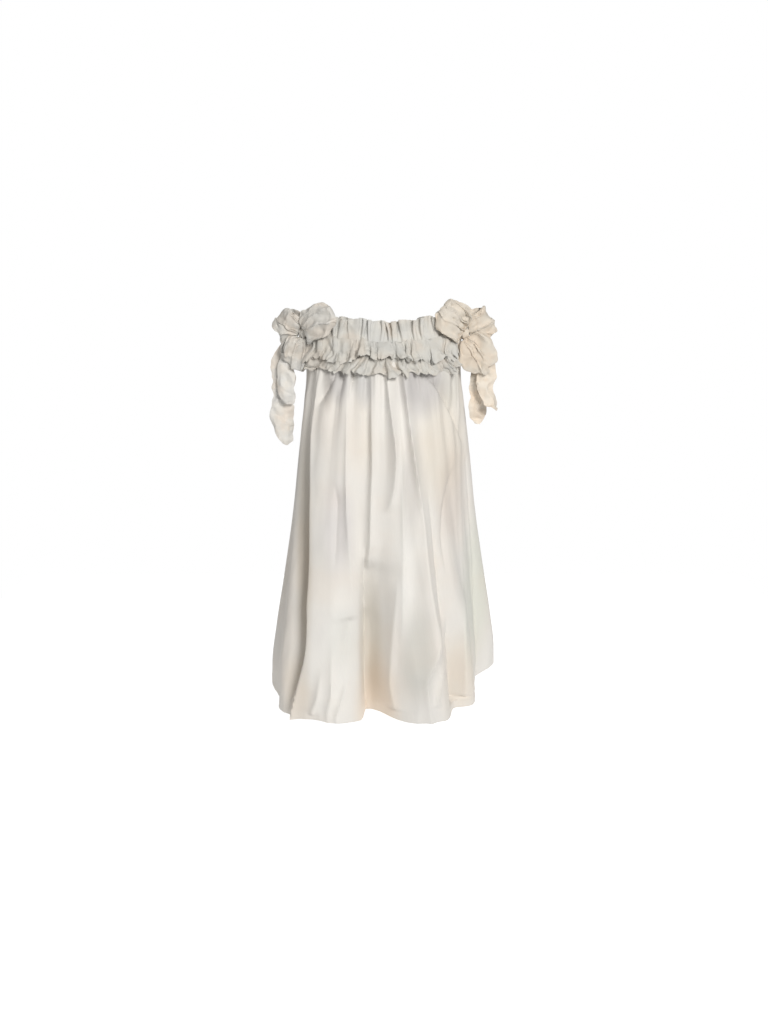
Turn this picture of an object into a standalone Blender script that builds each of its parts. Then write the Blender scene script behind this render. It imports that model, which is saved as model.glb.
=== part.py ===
"""Ruffle dress: a gathered A-line dress, worn and filled out, with a frilled neckline in three
layers and a tied bow with hanging tails on each shoulder.

+X is the right of the front view, -Y is the front and +Z is up. The origin lies midway between
the two shoulder bows, where the wearer's shoulders carry the dress. Sizes are in millimetres in
the tables and are turned into metres when a mesh is made.
"""

import math

import bmesh
import bpy
from mathutils import Vector

MM = 0.001

# Cloth and seams
CLOTH = 1.6
CASING_CLOTH = 2.4
RIBBON_CLOTH = 1.4
SEAM = 0.35
HEADER_SEAM = 0.6

# Neckline, from the top edge of the panels upwards
CASING_HEIGHT = 12.0
HEADER_HEIGHT = 36.0
HEADER_END_HEIGHT = 9.0
HEADER_FULL_TO = 0.62
HEADER_END = 0.86
HEADER_LEAN = 3.0
HEADER_PLEAT_DEPTH = 3.8
HEADER_ROOT_PLEAT = 0.2
HEADER_ROWS = (0.0, 0.45, 1.0)
HEADER_PHASE = {"front": 0.0, "back": 1.3}

# Small gathers of a panel, by how far below its top edge
GATHER_DEPTH = 3.0
GATHER_SMALLEST = 0.6
GATHER_TURN = 1.7
GATHER_START = 0.6
GATHER_FULL_AT = 45.0
GATHER_GONE_AT = 330.0
GATHER_END_POWER = 10

# The smooth form that the cloth hangs on. Heights run upwards from the origin.
FORM = (
    # height, half width, front depth, back depth, centre moved back, power, turned (degrees)
    (-790, 240, 224, 176, 22, 2.4, 12),
    (-700, 238, 213, 170, 20, 2.4, 11),
    (-620, 227, 200, 160, 17, 2.4, 9.5),
    (-500, 206, 180, 144, 13, 2.3, 6.5),
    (-370, 186, 162, 127, 9, 2.3, 3.5),
    (-250, 173, 147, 112, 5, 2.3, 1.2),
    (-150, 161, 134, 101, 2, 2.3, 0),
    (-75, 153, 120, 95, 0, 2.3, 0),
    (-34, 156, 109, 91, 0, 2.3, 0),
    (0, 158, 99, 86, 0, 2.3, 0),
    (80, 154, 90, 80, 0, 2.3, 0),
)

# Half the width of the armhole, front to back, by height. It closes at the underarm.
ARMHOLE = (
    # height, half width
    (-76, 0),
    (-72, 0),
    (-66, 15),
    (-54, 28),
    (-32, 34),
    (-8, 30),
    (60, 26),
)

# Heights of the rows of a panel's side edge, from the shoulder corner to the hem. Every column
# has the same shares of its own length.
CORNER_HEIGHT = -10.0
EDGE_ROWS = (-10, -24, -42, -58, -68, -76, -100, -165, -270, -430, -600, -737)
SIDE_HEM = -737.0

# The large folds of the skirt, in order round the dress from the back seam. An angle is measured
# from the front centre, positive to the right. A valley has a negative reach.
FLUTES = (
    # angle at the chest, angle at the hem, reach at the hem
    (-178, -178, -12),
    (-158, -160, 13),
    (-138, -141, -12),
    (-119, -123, 12),
    (-104, -106, -8),
    (-90, -86, 6),
    (-81, -76, 0),
    (-74, -62, 22),
    (-58, -49, -2),
    (-38, -33, 17),
    (-11, -17, -40),
    (4, 7, 15),
    (12, 18, 18),
    (20, 31, -26),
    (38, 41, -14),
    (54, 58, -46),
    (70, 76, -46),
    (88, 90, 10),
    (102, 106, -8),
    (118, 121, 13),
    (138, 141, -12),
    (160, 161, 13),
)

# Heights between which a flute swings from its angle at the chest to its angle at the hem
FLUTE_SWINGS_FROM = -60.0
FLUTE_SWINGS_OVER = 690.0

# Shares of the flutes' reach, by height
FLUTE_GROWTH = (
    # height, share
    (-790, 1.08),
    (-748, 1.0),
    (-600, 0.78),
    (-430, 0.5),
    (-270, 0.28),
    (-140, 0.12),
    (-60, 0.0),
    (80, 0.0),
)

# Panels. Each gather has four of the columns. The frills leave out the outermost columns.
PANELS = {
    # name: facing, middle of the top edge, middle of the hem, gathers, columns left out, pleats
    "front": (1, -34.0, -763.0, 14, 5, 19),
    "back": (-1, -49.0, -748.0, 11, 4, 15),
}
TOP_EDGE_POWER = 2.5
HEM_POWER = 7.0
COLUMNS_PER_GATHER = 4
COLUMNS_PER_PLEAT = 5
GATHERS_PER_WAVE = 1.25

# Frills. The upper one is sewn on the casing, the lower one along a row of the panel. The foot
# is measured from the panel's top edge.
FRILLS = {
    # name: foot at the middle, foot at the ends, clearance at the foot, wave at the foot, phase
    "upper": (-17.0, -46.0, 8.5, 12.0, 0.0),
    "lower": (-52.0, -70.0, 4.5, 14.0, 2.1),
}
UPPER_ROOT = 4.0
UPPER_ROWS = (0.0, 0.3, 0.65, 1.0)
LOWER_ROOT_ROW = 1
FRILL_END_RISE = 6.0
FRILL_END_POWER = 8
FRILL_GAP = 0.8
FRILL_FOOT_RIPPLE = 3.0
FRILL_FOOT_PHASE = 0.9
FRILL_STAND_POWER = 0.8
FRILL_END_FLAT = 0.6

# Unevenness of the waves along a frill or header
RIPPLE_SHIFTS = (
    # waves along the frill, shift, share of the phase
    (2, 0.12, 1),
    (5, 0.07, 2),
)
RIPPLE_SWELLS = 3
RIPPLE_SMALLEST = 0.72

# Bows. KNOT_PLACE is the share of the casing's half length at which the knot sits.
KNOT_PLACE = 0.93
KNOT_RADIUS = 9.5
KNOT_TALL = 1.12
LOOPS = {
    # name: facing outwards (degrees), lean from upright outwards (degrees), length, width, puff,
    # layer
    "left_upper_loop": (38, -67, 104, 72, 24, 6.0),
    "left_outer_loop": (34, 70, 54, 50, 18, 3.5),
    "left_lower_loop": (-6, 160, 62, 56, 13, 4.0),
    "right_upper_loop": (38, -62, 96, 76, 24, 6.0),
    "right_outer_loop": (34, 62, 56, 48, 18, 3.0),
    "right_lower_loop": (-6, 132, 66, 54, 17, 4.5),
}
LOOP_STATIONS = 19
LOOP_ACROSS = 10
LOOP_ROOT_WIDTH = 11.0
LOOP_PART = 2.2
LOOP_SWELL = 0.8
LOOP_END_SWELL = 0.3
LOOP_SPREAD = 0.8
LOOP_TAPER = 0.3
LOOP_ROUND = 0.2
LOOP_CUP = 0.6
LOOP_CUP_POWER = 2.2
LOOP_PLEATS = 2.5
LOOP_PLEAT_DEPTH = 5.0
ROOT_GAP = 0.4
ROOT_STEP = 0.05
RIBBON_ACROSS = 4
TAILS = {
    # each row: out from the centre plane, y, height, half width, roll (degrees), cup
    "left_long_tail": (
        (160, -43, -20.5, 5, 0, 0),
        (180, -31, -32, 11, 10, 2),
        (199, -28, -47, 17, 10, 2),
        (203, -29, -66, 21, 14, 6),
        (201, -33, -100, 23, 8, 7),
        (203, -34, -130, 22, -5, 4),
        (205, -34, -148, 21, 0, 2),
        (204, -34, -170, 23, 10, 6),
        (200, -34, -195, 22, 20, 7),
        (193, -34, -214, 16, 25, 5),
        (188, -34, -226, 6, 25, 1),
    ),
    "left_short_tail": (
        (161, -48, -20.3, 5, 0, 0),
        (180, -45, -34, 9, 5, 2),
        (190, -46, -52, 13, 5, 3),
        (194, -50, -78, 17, 0, 4),
        (194, -53, -108, 18, -8, 4),
        (192, -52, -132, 14, -10, 3),
        (189, -50, -146, 6, -10, 1),
    ),
    "right_long_tail": (
        (160, -43, -19.8, 5, 0, 0),
        (176, -37, -30, 9, -5, 2),
        (190, -34, -48, 14, -12, 4),
        (193, -34, -75, 19, -10, 6),
        (192, -34, -105, 20, 8, 6),
        (190, -34, -130, 19, 14, 4),
        (189, -34, -154, 18, 8, 5),
        (188, -34, -174, 13, 0, 4),
        (187, -34, -186, 5, 0, 1),
    ),
    "right_short_tail": (
        (161, -48, -20.3, 5, 0, 0),
        (180, -45, -34, 9, 0, 2),
        (197, -46, -58, 18, 0, 3),
        (203, -49, -86, 21, 6, 4),
        (203, -53, -112, 17, 12, 4),
        (209, -56, -132, 14, 24, 3),
        (219, -60, -144, 13, 36, 2),
        (228, -62, -150, 5, 44, 1),
    ),
}
TAIL_STATIONS = 18
STRAP_HALF_WIDTH = 5.0
STRAP_RISE = 17.0
STRAP_GAP = 2.1
STRAP_CREST = 1.3
STRAP_STATIONS = 11
STRAP_FLAT_BY = 0.4
STRAP_TO_KNOT = (0.0, 0.62, 0.78)

CLOTH_COLOUR = (0.86, 0.84, 0.80, 1.0)
CLOTH_ROUGHNESS = 0.72


def read(table, column, place):
    """The value of a column of a table at a place in its first column, on a smooth curve."""
    rows = sorted(table)
    if place <= rows[0][0]:
        return rows[0][column]
    if place >= rows[-1][0]:
        return rows[-1][column]
    k = max(i for i in range(len(rows) - 1) if rows[i][0] <= place)
    x0, x1 = rows[k][0], rows[k + 1][0]
    y0, y1 = rows[k][column], rows[k + 1][column]
    chord = (y1 - y0) / (x1 - x0)
    slopes = []
    for i in (k, k + 1):
        if 0 < i < len(rows) - 1:
            before = (rows[i][column] - rows[i - 1][column]) / (rows[i][0] - rows[i - 1][0])
            after = (rows[i + 1][column] - rows[i][column]) / (rows[i + 1][0] - rows[i][0])
            slopes.append(0.0 if before * after <= 0 else 2 * before * after / (before + after))
        else:
            slopes.append(chord)
    t = (place - x0) / (x1 - x0)
    width = x1 - x0
    return (
        y0 * (2 * t**3 - 3 * t**2 + 1)
        + slopes[0] * width * (t**3 - 2 * t**2 + t)
        + y1 * (3 * t**2 - 2 * t**3)
        + slopes[1] * width * (t**3 - t**2)
    )


def ease(t):
    """A smooth step from 0 to 1."""
    t = min(1.0, max(0.0, t))
    return t * t * (3 - 2 * t)


def form_point(turn, height):
    """A point of the smooth form, at an angle from the front centre."""
    across, along = math.sin(turn), math.cos(turn)
    half_width = read(FORM, 1, height)
    depth = read(FORM, 2, height) if along > 0 else read(FORM, 3, height)
    power = read(FORM, 5, height)
    reach = (abs(along / depth) ** power + abs(across / half_width) ** power) ** (-1 / power)
    turned = math.radians(read(FORM, 6, height))
    x = reach * (across * math.cos(turned) + along * math.sin(turned))
    y = reach * (across * math.sin(turned) - along * math.cos(turned))
    return Vector((x, read(FORM, 4, height) + y, height))


def form_normal(turn, height):
    """The level direction that points out of the form."""
    step = 0.01
    run = form_point(turn + step, height) - form_point(turn - step, height)
    return Vector((run.y, -run.x, 0)).normalized()


def fluted_point(turn, height):
    """A point of the form with its large folds."""
    return form_point(turn, height) + form_normal(turn, height) * flute_reach(turn, height)


def fluted_normal(turn, height):
    """The level direction that points out of the folded form."""
    step = 0.02
    run = fluted_point(turn + step, height) - fluted_point(turn - step, height)
    return Vector((run.y, -run.x, 0)).normalized()


def flute_reach(turn, height):
    """How far the skirt's large folds stand out, or in, at an angle and height."""
    down = ease((FLUTE_SWINGS_FROM - height) / FLUTE_SWINGS_OVER)
    places = [a + (b - a) * down for a, b, _ in FLUTES]
    degrees = math.degrees(turn)
    degrees = (degrees - places[0]) % 360 + places[0]
    places.append(places[0] + 360)
    reaches = [row[2] for row in FLUTES] + [FLUTES[0][2]]
    k = max(i for i in range(len(places) - 1) if places[i] <= degrees + 1e-9)
    t = (degrees - places[k]) / (places[k + 1] - places[k])
    reach = reaches[k] + (reaches[k + 1] - reaches[k]) * ease(t)
    return reach * read(FLUTE_GROWTH, 1, height)


def gather_reach(share, gathers, drop):
    """The small gathers below the casing. They fade into the large folds further down."""
    grow = ease(drop / GATHER_FULL_AT) * (1 - ease((drop - GATHER_FULL_AT) / GATHER_GONE_AT))
    count = gathers * (share + 1) / 2
    middle, swing = (1 + GATHER_SMALLEST) / 2, (1 - GATHER_SMALLEST) / 2
    size = middle + swing * math.sin(GATHER_TURN * math.floor(count + 0.25) + GATHER_START)
    size *= 1 - abs(share) ** GATHER_END_POWER
    return -GATHER_DEPTH * grow * size * math.cos(2 * math.pi * count)


class Panel:
    """One half of the dress. A column is named by its share of the half width, from -1 to 1."""

    def __init__(self, facing, top_middle, hem_middle, gathers, left_out, pleats):
        self.facing = facing
        self.top_middle = top_middle
        self.hem_middle = hem_middle
        self.gathers = gathers
        self.left_out = left_out
        self.pleats = pleats

    def shares(self):
        columns = self.gathers * COLUMNS_PER_GATHER
        return column_shares(columns)

    def top(self, share):
        rise = CORNER_HEIGHT - self.top_middle
        return self.top_middle + rise * abs(share) ** TOP_EDGE_POWER

    def hem(self, share):
        return self.hem_middle + (SIDE_HEM - self.hem_middle) * abs(share) ** HEM_POWER

    def turn(self, share, height):
        opening = max(SEAM / 2, read(ARMHOLE, 1, height))
        angle = share * (math.pi / 2 - math.atan(opening / read(FORM, 1, height)))
        return angle if self.facing > 0 else math.pi - angle

    def normal(self, share, height):
        return form_normal(self.turn(share, height), height)

    def smooth(self, share, height):
        return form_point(self.turn(share, height), height)

    def cloth(self, share, height):
        """The middle of the panel's wall, with its folds and gathers."""
        turn = self.turn(share, height)
        drop = self.top(share) - height
        reach = flute_reach(turn, height)
        if drop > 0:
            reach += gather_reach(share, self.gathers, drop)
        return self.smooth(share, height) + self.normal(share, height) * reach

    def rows(self, share):
        """The heights of the panel's rows at one column."""
        top, hem = self.top(share), self.hem(share)
        length = EDGE_ROWS[0] - EDGE_ROWS[-1]
        return [top - (top - hem) * (EDGE_ROWS[0] - row) / length for row in EDGE_ROWS]

    def on_rows(self, share, height):
        """A point of the faceted panel, between its own rows, at one of its columns."""
        rows = self.rows(share)
        if height >= rows[0]:
            return self.cloth(share, height)
        k = max(i for i in range(len(rows) - 1) if rows[i] >= height)
        t = (rows[k] - height) / (rows[k] - rows[k + 1])
        return self.cloth(share, rows[k]).lerp(self.cloth(share, rows[k + 1]), t)


def column_shares(columns, end=1.0):
    return [end * (2 * j / columns - 1) for j in range(columns + 1)]


def make_cloth_material():
    """Ivory cotton with a dull finish."""
    material = bpy.data.materials.new("ivory_cotton")
    material.use_nodes = True
    shader = material.node_tree.nodes["Principled BSDF"]
    shader.inputs["Base Color"].default_value = CLOTH_COLOUR
    shader.inputs["Roughness"].default_value = CLOTH_ROUGHNESS
    shader.inputs["Metallic"].default_value = 0.0
    return material


def add_object(name, bm):
    """Puts a finished mesh, in millimetres, into the scene in metres."""
    bmesh.ops.recalc_face_normals(bm, faces=bm.faces)
    bmesh.ops.scale(bm, vec=(MM, MM, MM), verts=bm.verts)
    mesh = bpy.data.meshes.new(name)
    bm.to_mesh(mesh)
    bm.free()
    mesh.shade_smooth()
    mesh.set_sharp_from_angle(angle=math.radians(50))
    mesh.materials.append(make_cloth_material())
    obj = bpy.data.objects.new(name, mesh)
    bpy.context.scene.collection.objects.link(obj)
    return obj


def wall(name, grid, normals, thickness):
    """A closed wall of cloth from a grid of points on its middle and the direction out at each."""
    bm = bmesh.new()
    half = thickness / 2
    sides = []
    for sign in (1, -1):
        sides.append([
            [bm.verts.new(p + n * half * sign) for p, n in zip(points, directions)]
            for points, directions in zip(grid, normals)
        ])
    outer, inner = sides
    last_row, last_column = len(grid) - 1, len(grid[0]) - 1
    for i in range(last_row):
        for j in range(last_column):
            for side in sides:
                bm.faces.new((side[i][j], side[i][j + 1], side[i + 1][j + 1]))
                bm.faces.new((side[i][j], side[i + 1][j + 1], side[i + 1][j]))
    for i in range(last_row):
        for j in (0, last_column):
            bm.faces.new((outer[i][j], outer[i + 1][j], inner[i + 1][j]))
            bm.faces.new((outer[i][j], inner[i + 1][j], inner[i][j]))
    for j in range(last_column):
        for i in (0, last_row):
            bm.faces.new((outer[i][j], outer[i][j + 1], inner[i][j + 1]))
            bm.faces.new((outer[i][j], inner[i][j + 1], inner[i][j]))
    return add_object(name, bm)


def level_normals(grid, facing):
    """Directions square to the level run of each row of points."""
    normals = []
    for points in grid:
        last = len(points) - 1
        row = []
        for j in range(last + 1):
            run = points[min(j + 1, last)] - points[max(j - 1, 0)]
            row.append(Vector((run.y, -run.x, 0)).normalized() * facing)
        normals.append(row)
    return normals


def bent_normals(grid):
    """Directions square to a grid of points that bends both ways."""
    last_row, last_column = len(grid) - 1, len(grid[0]) - 1
    normals = []
    for i in range(last_row + 1):
        row = []
        for j in range(last_column + 1):
            down = grid[min(i + 1, last_row)][j] - grid[max(i - 1, 0)][j]
            across = grid[i][min(j + 1, last_column)] - grid[i][max(j - 1, 0)]
            row.append(across.cross(down).normalized())
        normals.append(row)
    return normals


def make_panel(name, panel):
    """The gathered A-line panel, from the casing to the hem, cut away at the armholes."""
    shares = panel.shares()
    columns = [panel.rows(share) for share in shares]
    grid, normals = [], []
    for i in range(len(EDGE_ROWS)):
        grid.append([panel.cloth(s, rows[i]) for s, rows in zip(shares, columns)])
        normals.append([
            fluted_normal(panel.turn(s, rows[i]), rows[i]) for s, rows in zip(shares, columns)
        ])
    wall(f"{name}_panel", grid, normals, CLOTH)


def make_casing(name, panel):
    """The narrow band above the panel that the ties run through."""
    shares = panel.shares()[::2]
    grid, normals = [], []
    for rise in (SEAM, SEAM + CASING_HEIGHT):
        grid.append([panel.smooth(s, panel.top(s) + rise) for s in shares])
        normals.append([panel.normal(s, panel.top(s) + rise) for s in shares])
    wall(f"{name}_casing", grid, normals, CASING_CLOTH)


def header_height(share):
    """The frill above the casing stands tall over the chest and is low under the bows."""
    low = ease((abs(share) - HEADER_FULL_TO) / (HEADER_END - HEADER_FULL_TO))
    return HEADER_HEIGHT + (HEADER_END_HEIGHT - HEADER_HEIGHT) * low


def ripple(share, count, phase):
    """An uneven wave from -1 to 1 along a frill."""
    place = (share + 1) / 2
    turn = 2 * math.pi * place
    shift = sum(far * math.sin(waves * turn + many * phase) for waves, far, many in RIPPLE_SHIFTS)
    middle, swing = (1 + RIPPLE_SMALLEST) / 2, (1 - RIPPLE_SMALLEST) / 2
    size = middle + swing * math.sin(RIPPLE_SWELLS * turn + phase)
    return size * math.cos(count * turn + 2 * math.pi * shift + phase)


def make_header(name, panel):
    """The upright frill on top of the casing, in small pleats."""
    shares = column_shares(panel.pleats * COLUMNS_PER_PLEAT, HEADER_END)
    phase = HEADER_PHASE[name]
    grid = []
    for up in HEADER_ROWS:
        points = []
        for share in shares:
            tall = header_height(share)
            height = panel.top(share) + SEAM + CASING_HEIGHT + HEADER_SEAM + tall * up
            full = tall / HEADER_HEIGHT
            lean = HEADER_LEAN * up * full
            opened = HEADER_ROOT_PLEAT + (1 - HEADER_ROOT_PLEAT) * up * full
            pleat = HEADER_PLEAT_DEPTH * opened
            reach = lean + pleat * ripple(share, panel.pleats / HEADER_END, phase)
            points.append(panel.smooth(share, height) + panel.normal(share, height) * reach)
        grid.append(points)
    wall(f"{name}_header", grid, level_normals(grid, panel.facing), CLOTH)


def frill_rows(panel, kind, share, foot):
    """The heights of a frill's rows at one column, from its root to its foot."""
    if kind == "upper":
        root = panel.top(share) + UPPER_ROOT
        return [root + (foot - root) * down for down in UPPER_ROWS]
    root, below = panel.rows(share)[LOWER_ROOT_ROW : LOWER_ROOT_ROW + 2]
    return [root, below, (below + foot) / 2, foot]


def make_frill(name, panel, kind):
    """A frill that hangs over the casing or the panel, made from the panel's points, moved out."""
    foot_middle, foot_end, clear, wave, phase = FRILLS[kind]
    shares = panel.shares()[panel.left_out : -panel.left_out]
    widest = abs(shares[0])
    waves = panel.gathers / GATHERS_PER_WAVE
    under = CASING_CLOTH if kind == "upper" else CLOTH
    columns = []
    for share in shares:
        side = (abs(share) / widest) ** TOP_EDGE_POWER
        end = (abs(share) / widest) ** FRILL_END_POWER
        foot = panel.top(share) + foot_middle + (foot_end - foot_middle) * side
        foot += FRILL_END_RISE * end
        foot -= FRILL_FOOT_RIPPLE * ripple(share, waves, phase + FRILL_FOOT_PHASE)
        heights = frill_rows(panel, kind, share, foot)
        column = []
        for height in heights:
            down = (heights[0] - height) / (heights[0] - foot)
            lie = (under + CLOTH) / 2 + SEAM + FRILL_GAP * min(1.0, 3 * down) + clear * down
            stand = wave * down**FRILL_STAND_POWER * (1 - FRILL_END_FLAT * end)
            stand *= (1 + ripple(share, waves, phase)) / 2
            out = panel.normal(share, height)
            column.append(panel.on_rows(share, height) + out * (lie + stand))
        columns.append(column)
    grid = [list(row) for row in zip(*columns)]
    wall(f"{name}_{kind}_frill", grid, level_normals(grid, panel.facing), CLOTH)


def ribbon(name, centres, across, half_widths, cups):
    """A strip of tie ribbon. A cup bends its two edges back, out of its own plane."""
    count = len(centres)
    steps = [2 * k / RIBBON_ACROSS - 1 for k in range(RIBBON_ACROSS + 1)]
    grid, normals = [], []
    for i in range(count):
        run = (centres[min(i + 1, count - 1)] - centres[max(i - 1, 0)]).normalized()
        wide = (across[i] - run * across[i].dot(run)).normalized()
        face = run.cross(wide).normalized()
        row = [centres[i] + wide * half_widths[i] * k - face * cups[i] * k * k for k in steps]
        grid.append(row)
        bend = [2 * cups[i] * k / max(half_widths[i], 1.0) for k in steps]
        normals.append([(face + wide * b).normalized() for b in bend])
    return wall(name, grid, normals, RIBBON_CLOTH)


def knot_centre(side, panel):
    """The middle of a knot, just in front of the casing's end. Side is -1 for the left."""
    share = side * KNOT_PLACE
    height = panel.top(share) + SEAM + CASING_HEIGHT / 2
    stand = CASING_CLOTH / 2 + SEAM + KNOT_RADIUS
    return panel.smooth(share, height) + panel.normal(share, height) * stand


def make_knot(name, centre):
    """The knot, a soft ball a little taller than wide."""
    bm = bmesh.new()
    bmesh.ops.create_uvsphere(bm, u_segments=12, v_segments=8, radius=KNOT_RADIUS)
    for v in bm.verts:
        v.co.z *= KNOT_TALL
        v.co += centre
    add_object(f"{name}_knot", bm)


def root_reach(along, wide, face, layer):
    """How far from the knot's middle a loop's root sits when it just clears the knot."""
    corners = [
        wide * LOOP_ROOT_WIDTH / 2 * k + face * (layer + depth)
        for k in (-1, -0.5, 0, 0.5, 1)
        for depth in (-LOOP_PART - RIBBON_CLOTH / 2, LOOP_PART + RIBBON_CLOTH / 2)
    ]
    reach = 0.0
    while True:
        points = [along * reach + corner for corner in corners]
        nearest = min(Vector((p.x, p.y, p.z / KNOT_TALL)).length for p in points)
        if nearest > KNOT_RADIUS + ROOT_GAP:
            return reach
        reach += ROOT_STEP


def make_loop(name, side, centre):
    """A bow loop: a ribbon that leaves the knot, puffs out at the front and comes back behind."""
    facing, lean, length, width, puff, layer = LOOPS[name]
    facing, lean = math.radians(facing), math.radians(lean)
    face = Vector((side * math.sin(facing), -math.cos(facing), 0))
    out = Vector((side * math.cos(facing), math.sin(facing), 0))
    up = Vector((0, 0, 1))
    along = up * math.cos(lean) + out * math.sin(lean)
    wide = out * math.cos(lean) - up * math.sin(lean)
    root = centre + along * root_reach(along, wide, face, layer) + face * layer
    grid = []
    for i in range(LOOP_STATIONS):
        s = i / (LOOP_STATIONS - 1)
        half_turn = math.sin(math.pi * s)
        far = half_turn**2
        swell = max(math.sin(2 * math.pi * s), 0.0) ** LOOP_SWELL * half_turn**LOOP_END_SWELL
        part = LOOP_PART * math.cos(math.pi * s)
        spread = half_turn**LOOP_SPREAD * (1 - LOOP_TAPER * far**2)
        half_width = (LOOP_ROOT_WIDTH + (width - LOOP_ROOT_WIDTH) * spread) / 2
        row = []
        for j in range(LOOP_ACROSS + 1):
            k = 2 * j / LOOP_ACROSS - 1
            edge = abs(k) ** LOOP_CUP_POWER
            reach = length * far * (1 - LOOP_ROUND * edge)
            pleat = LOOP_PLEAT_DEPTH * (1 - math.cos(math.pi * LOOP_PLEATS * (k + 1))) / 2
            depth = (puff * (1 - LOOP_CUP * edge) + pleat) * swell + part
            row.append(root + along * reach + wide * half_width * k + face * depth)
        grid.append(row)
    wall(name, grid, bent_normals(grid), RIBBON_CLOTH)


def make_tail(name, side):
    """A tie end that hangs from the knot, turned and cupped along its length."""
    rows = TAILS[name]
    table = [(i / (len(rows) - 1), *row) for i, row in enumerate(rows)]
    centres, across, half_widths, cups = [], [], [], []
    for i in range(TAIL_STATIONS):
        s = i / (TAIL_STATIONS - 1)
        out, y, height, half_width, roll, cup = (read(table, k, s) for k in range(1, 7))
        centres.append(Vector((side * out, y, height)))
        across.append(Vector((math.cos(math.radians(roll)), math.sin(math.radians(roll)), 0)))
        half_widths.append(half_width)
        cups.append(cup)
    ribbon(name, centres, across, half_widths, cups)


def make_strap(name, side, knot, back):
    """The tie from the back casing's end, over the shoulder, to the knot."""
    middle = back.top(side) + SEAM + CASING_HEIGHT / 2
    start = back.smooth(side, middle) - Vector((0, STRAP_GAP, 0))
    finish = knot + Vector(STRAP_TO_KNOT) * (KNOT_RADIUS * KNOT_TALL + SEAM)
    centres, across = [], []
    for i in range(STRAP_STATIONS):
        s = i / (STRAP_STATIONS - 1)
        point = start.lerp(finish, s)
        point.z += STRAP_RISE * math.sin(math.pi * s**STRAP_CREST) ** 2
        centres.append(point)
        lean = math.pi / 2 * (1 - ease(s / STRAP_FLAT_BY))
        across.append(Vector((math.cos(lean), 0, math.sin(lean))))
    half_widths = [STRAP_HALF_WIDTH] * STRAP_STATIONS
    ribbon(f"{name}_strap", centres, across, half_widths, [0.0] * STRAP_STATIONS)


def make_bow(name, side, front, back):
    centre = knot_centre(side, front)
    make_knot(name, centre)
    make_strap(name, side, centre, back)
    for loop in LOOPS:
        if loop.startswith(name):
            make_loop(loop, side, centre)
    for tail in TAILS:
        if tail.startswith(name):
            make_tail(tail, side)


def main():
    for obj in list(bpy.data.objects):
        bpy.data.objects.remove(obj)
    panels = {name: Panel(*row) for name, row in PANELS.items()}
    for name, panel in panels.items():
        make_panel(name, panel)
        make_casing(name, panel)
        make_header(name, panel)
        for kind in FRILLS:
            make_frill(name, panel, kind)
    make_bow("left", -1, panels["front"], panels["back"])
    make_bow("right", 1, panels["front"], panels["back"])


main()
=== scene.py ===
"""The looks of the ruffle dress: thin cotton shells on the forms of the CAD solids, with their
gathers, creases, frills, bows and stitching, and the photo's camera and light.

Sizes in the tables are in millimetres in the part's own frame: +X is the right of the front view,
-Y is the front and +Z is up.
"""

import math

import bpy
import numpy as np
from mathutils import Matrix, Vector, noise


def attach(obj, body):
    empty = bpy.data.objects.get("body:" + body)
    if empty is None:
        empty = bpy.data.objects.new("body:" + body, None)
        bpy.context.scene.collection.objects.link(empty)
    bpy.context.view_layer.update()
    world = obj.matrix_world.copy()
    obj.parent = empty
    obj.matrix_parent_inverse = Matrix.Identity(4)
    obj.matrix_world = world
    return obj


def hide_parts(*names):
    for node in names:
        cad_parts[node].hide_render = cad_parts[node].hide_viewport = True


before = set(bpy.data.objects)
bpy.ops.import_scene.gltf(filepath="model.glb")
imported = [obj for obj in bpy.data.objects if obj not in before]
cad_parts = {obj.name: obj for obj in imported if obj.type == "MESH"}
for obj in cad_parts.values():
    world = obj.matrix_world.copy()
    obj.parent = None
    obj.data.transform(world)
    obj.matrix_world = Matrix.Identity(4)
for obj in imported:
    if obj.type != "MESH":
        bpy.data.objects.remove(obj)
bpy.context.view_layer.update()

MM = 0.001
SEED = 20
NOISE_SEED = 7
noise.seed_set(NOISE_SEED)
THIN = 0.7
RIBBON_THIN = 0.6
SHARP_ANGLE = 60

# The cut of the dress, as in the part's own tables
CLOTH = 1.6
CASING_CLOTH = 2.4
SEAM = 0.35
HEADER_SEAM = 0.6
CASING_HEIGHT = 12.0
HEADER_HEIGHT = 36.0
HEADER_END_HEIGHT = 9.0
HEADER_FULL_TO = 0.62
HEADER_END = 0.86
HEADER_LEAN = 3.0
GATHER_DEPTH = 3.0
GATHER_FULL_AT = 45.0
GATHER_GONE_AT = 330.0
GATHER_END_POWER = 10
CORNER_HEIGHT = -10.0
SIDE_HEM = -737.0
TOP_EDGE_POWER = 2.5
HEM_POWER = 7.0

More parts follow.
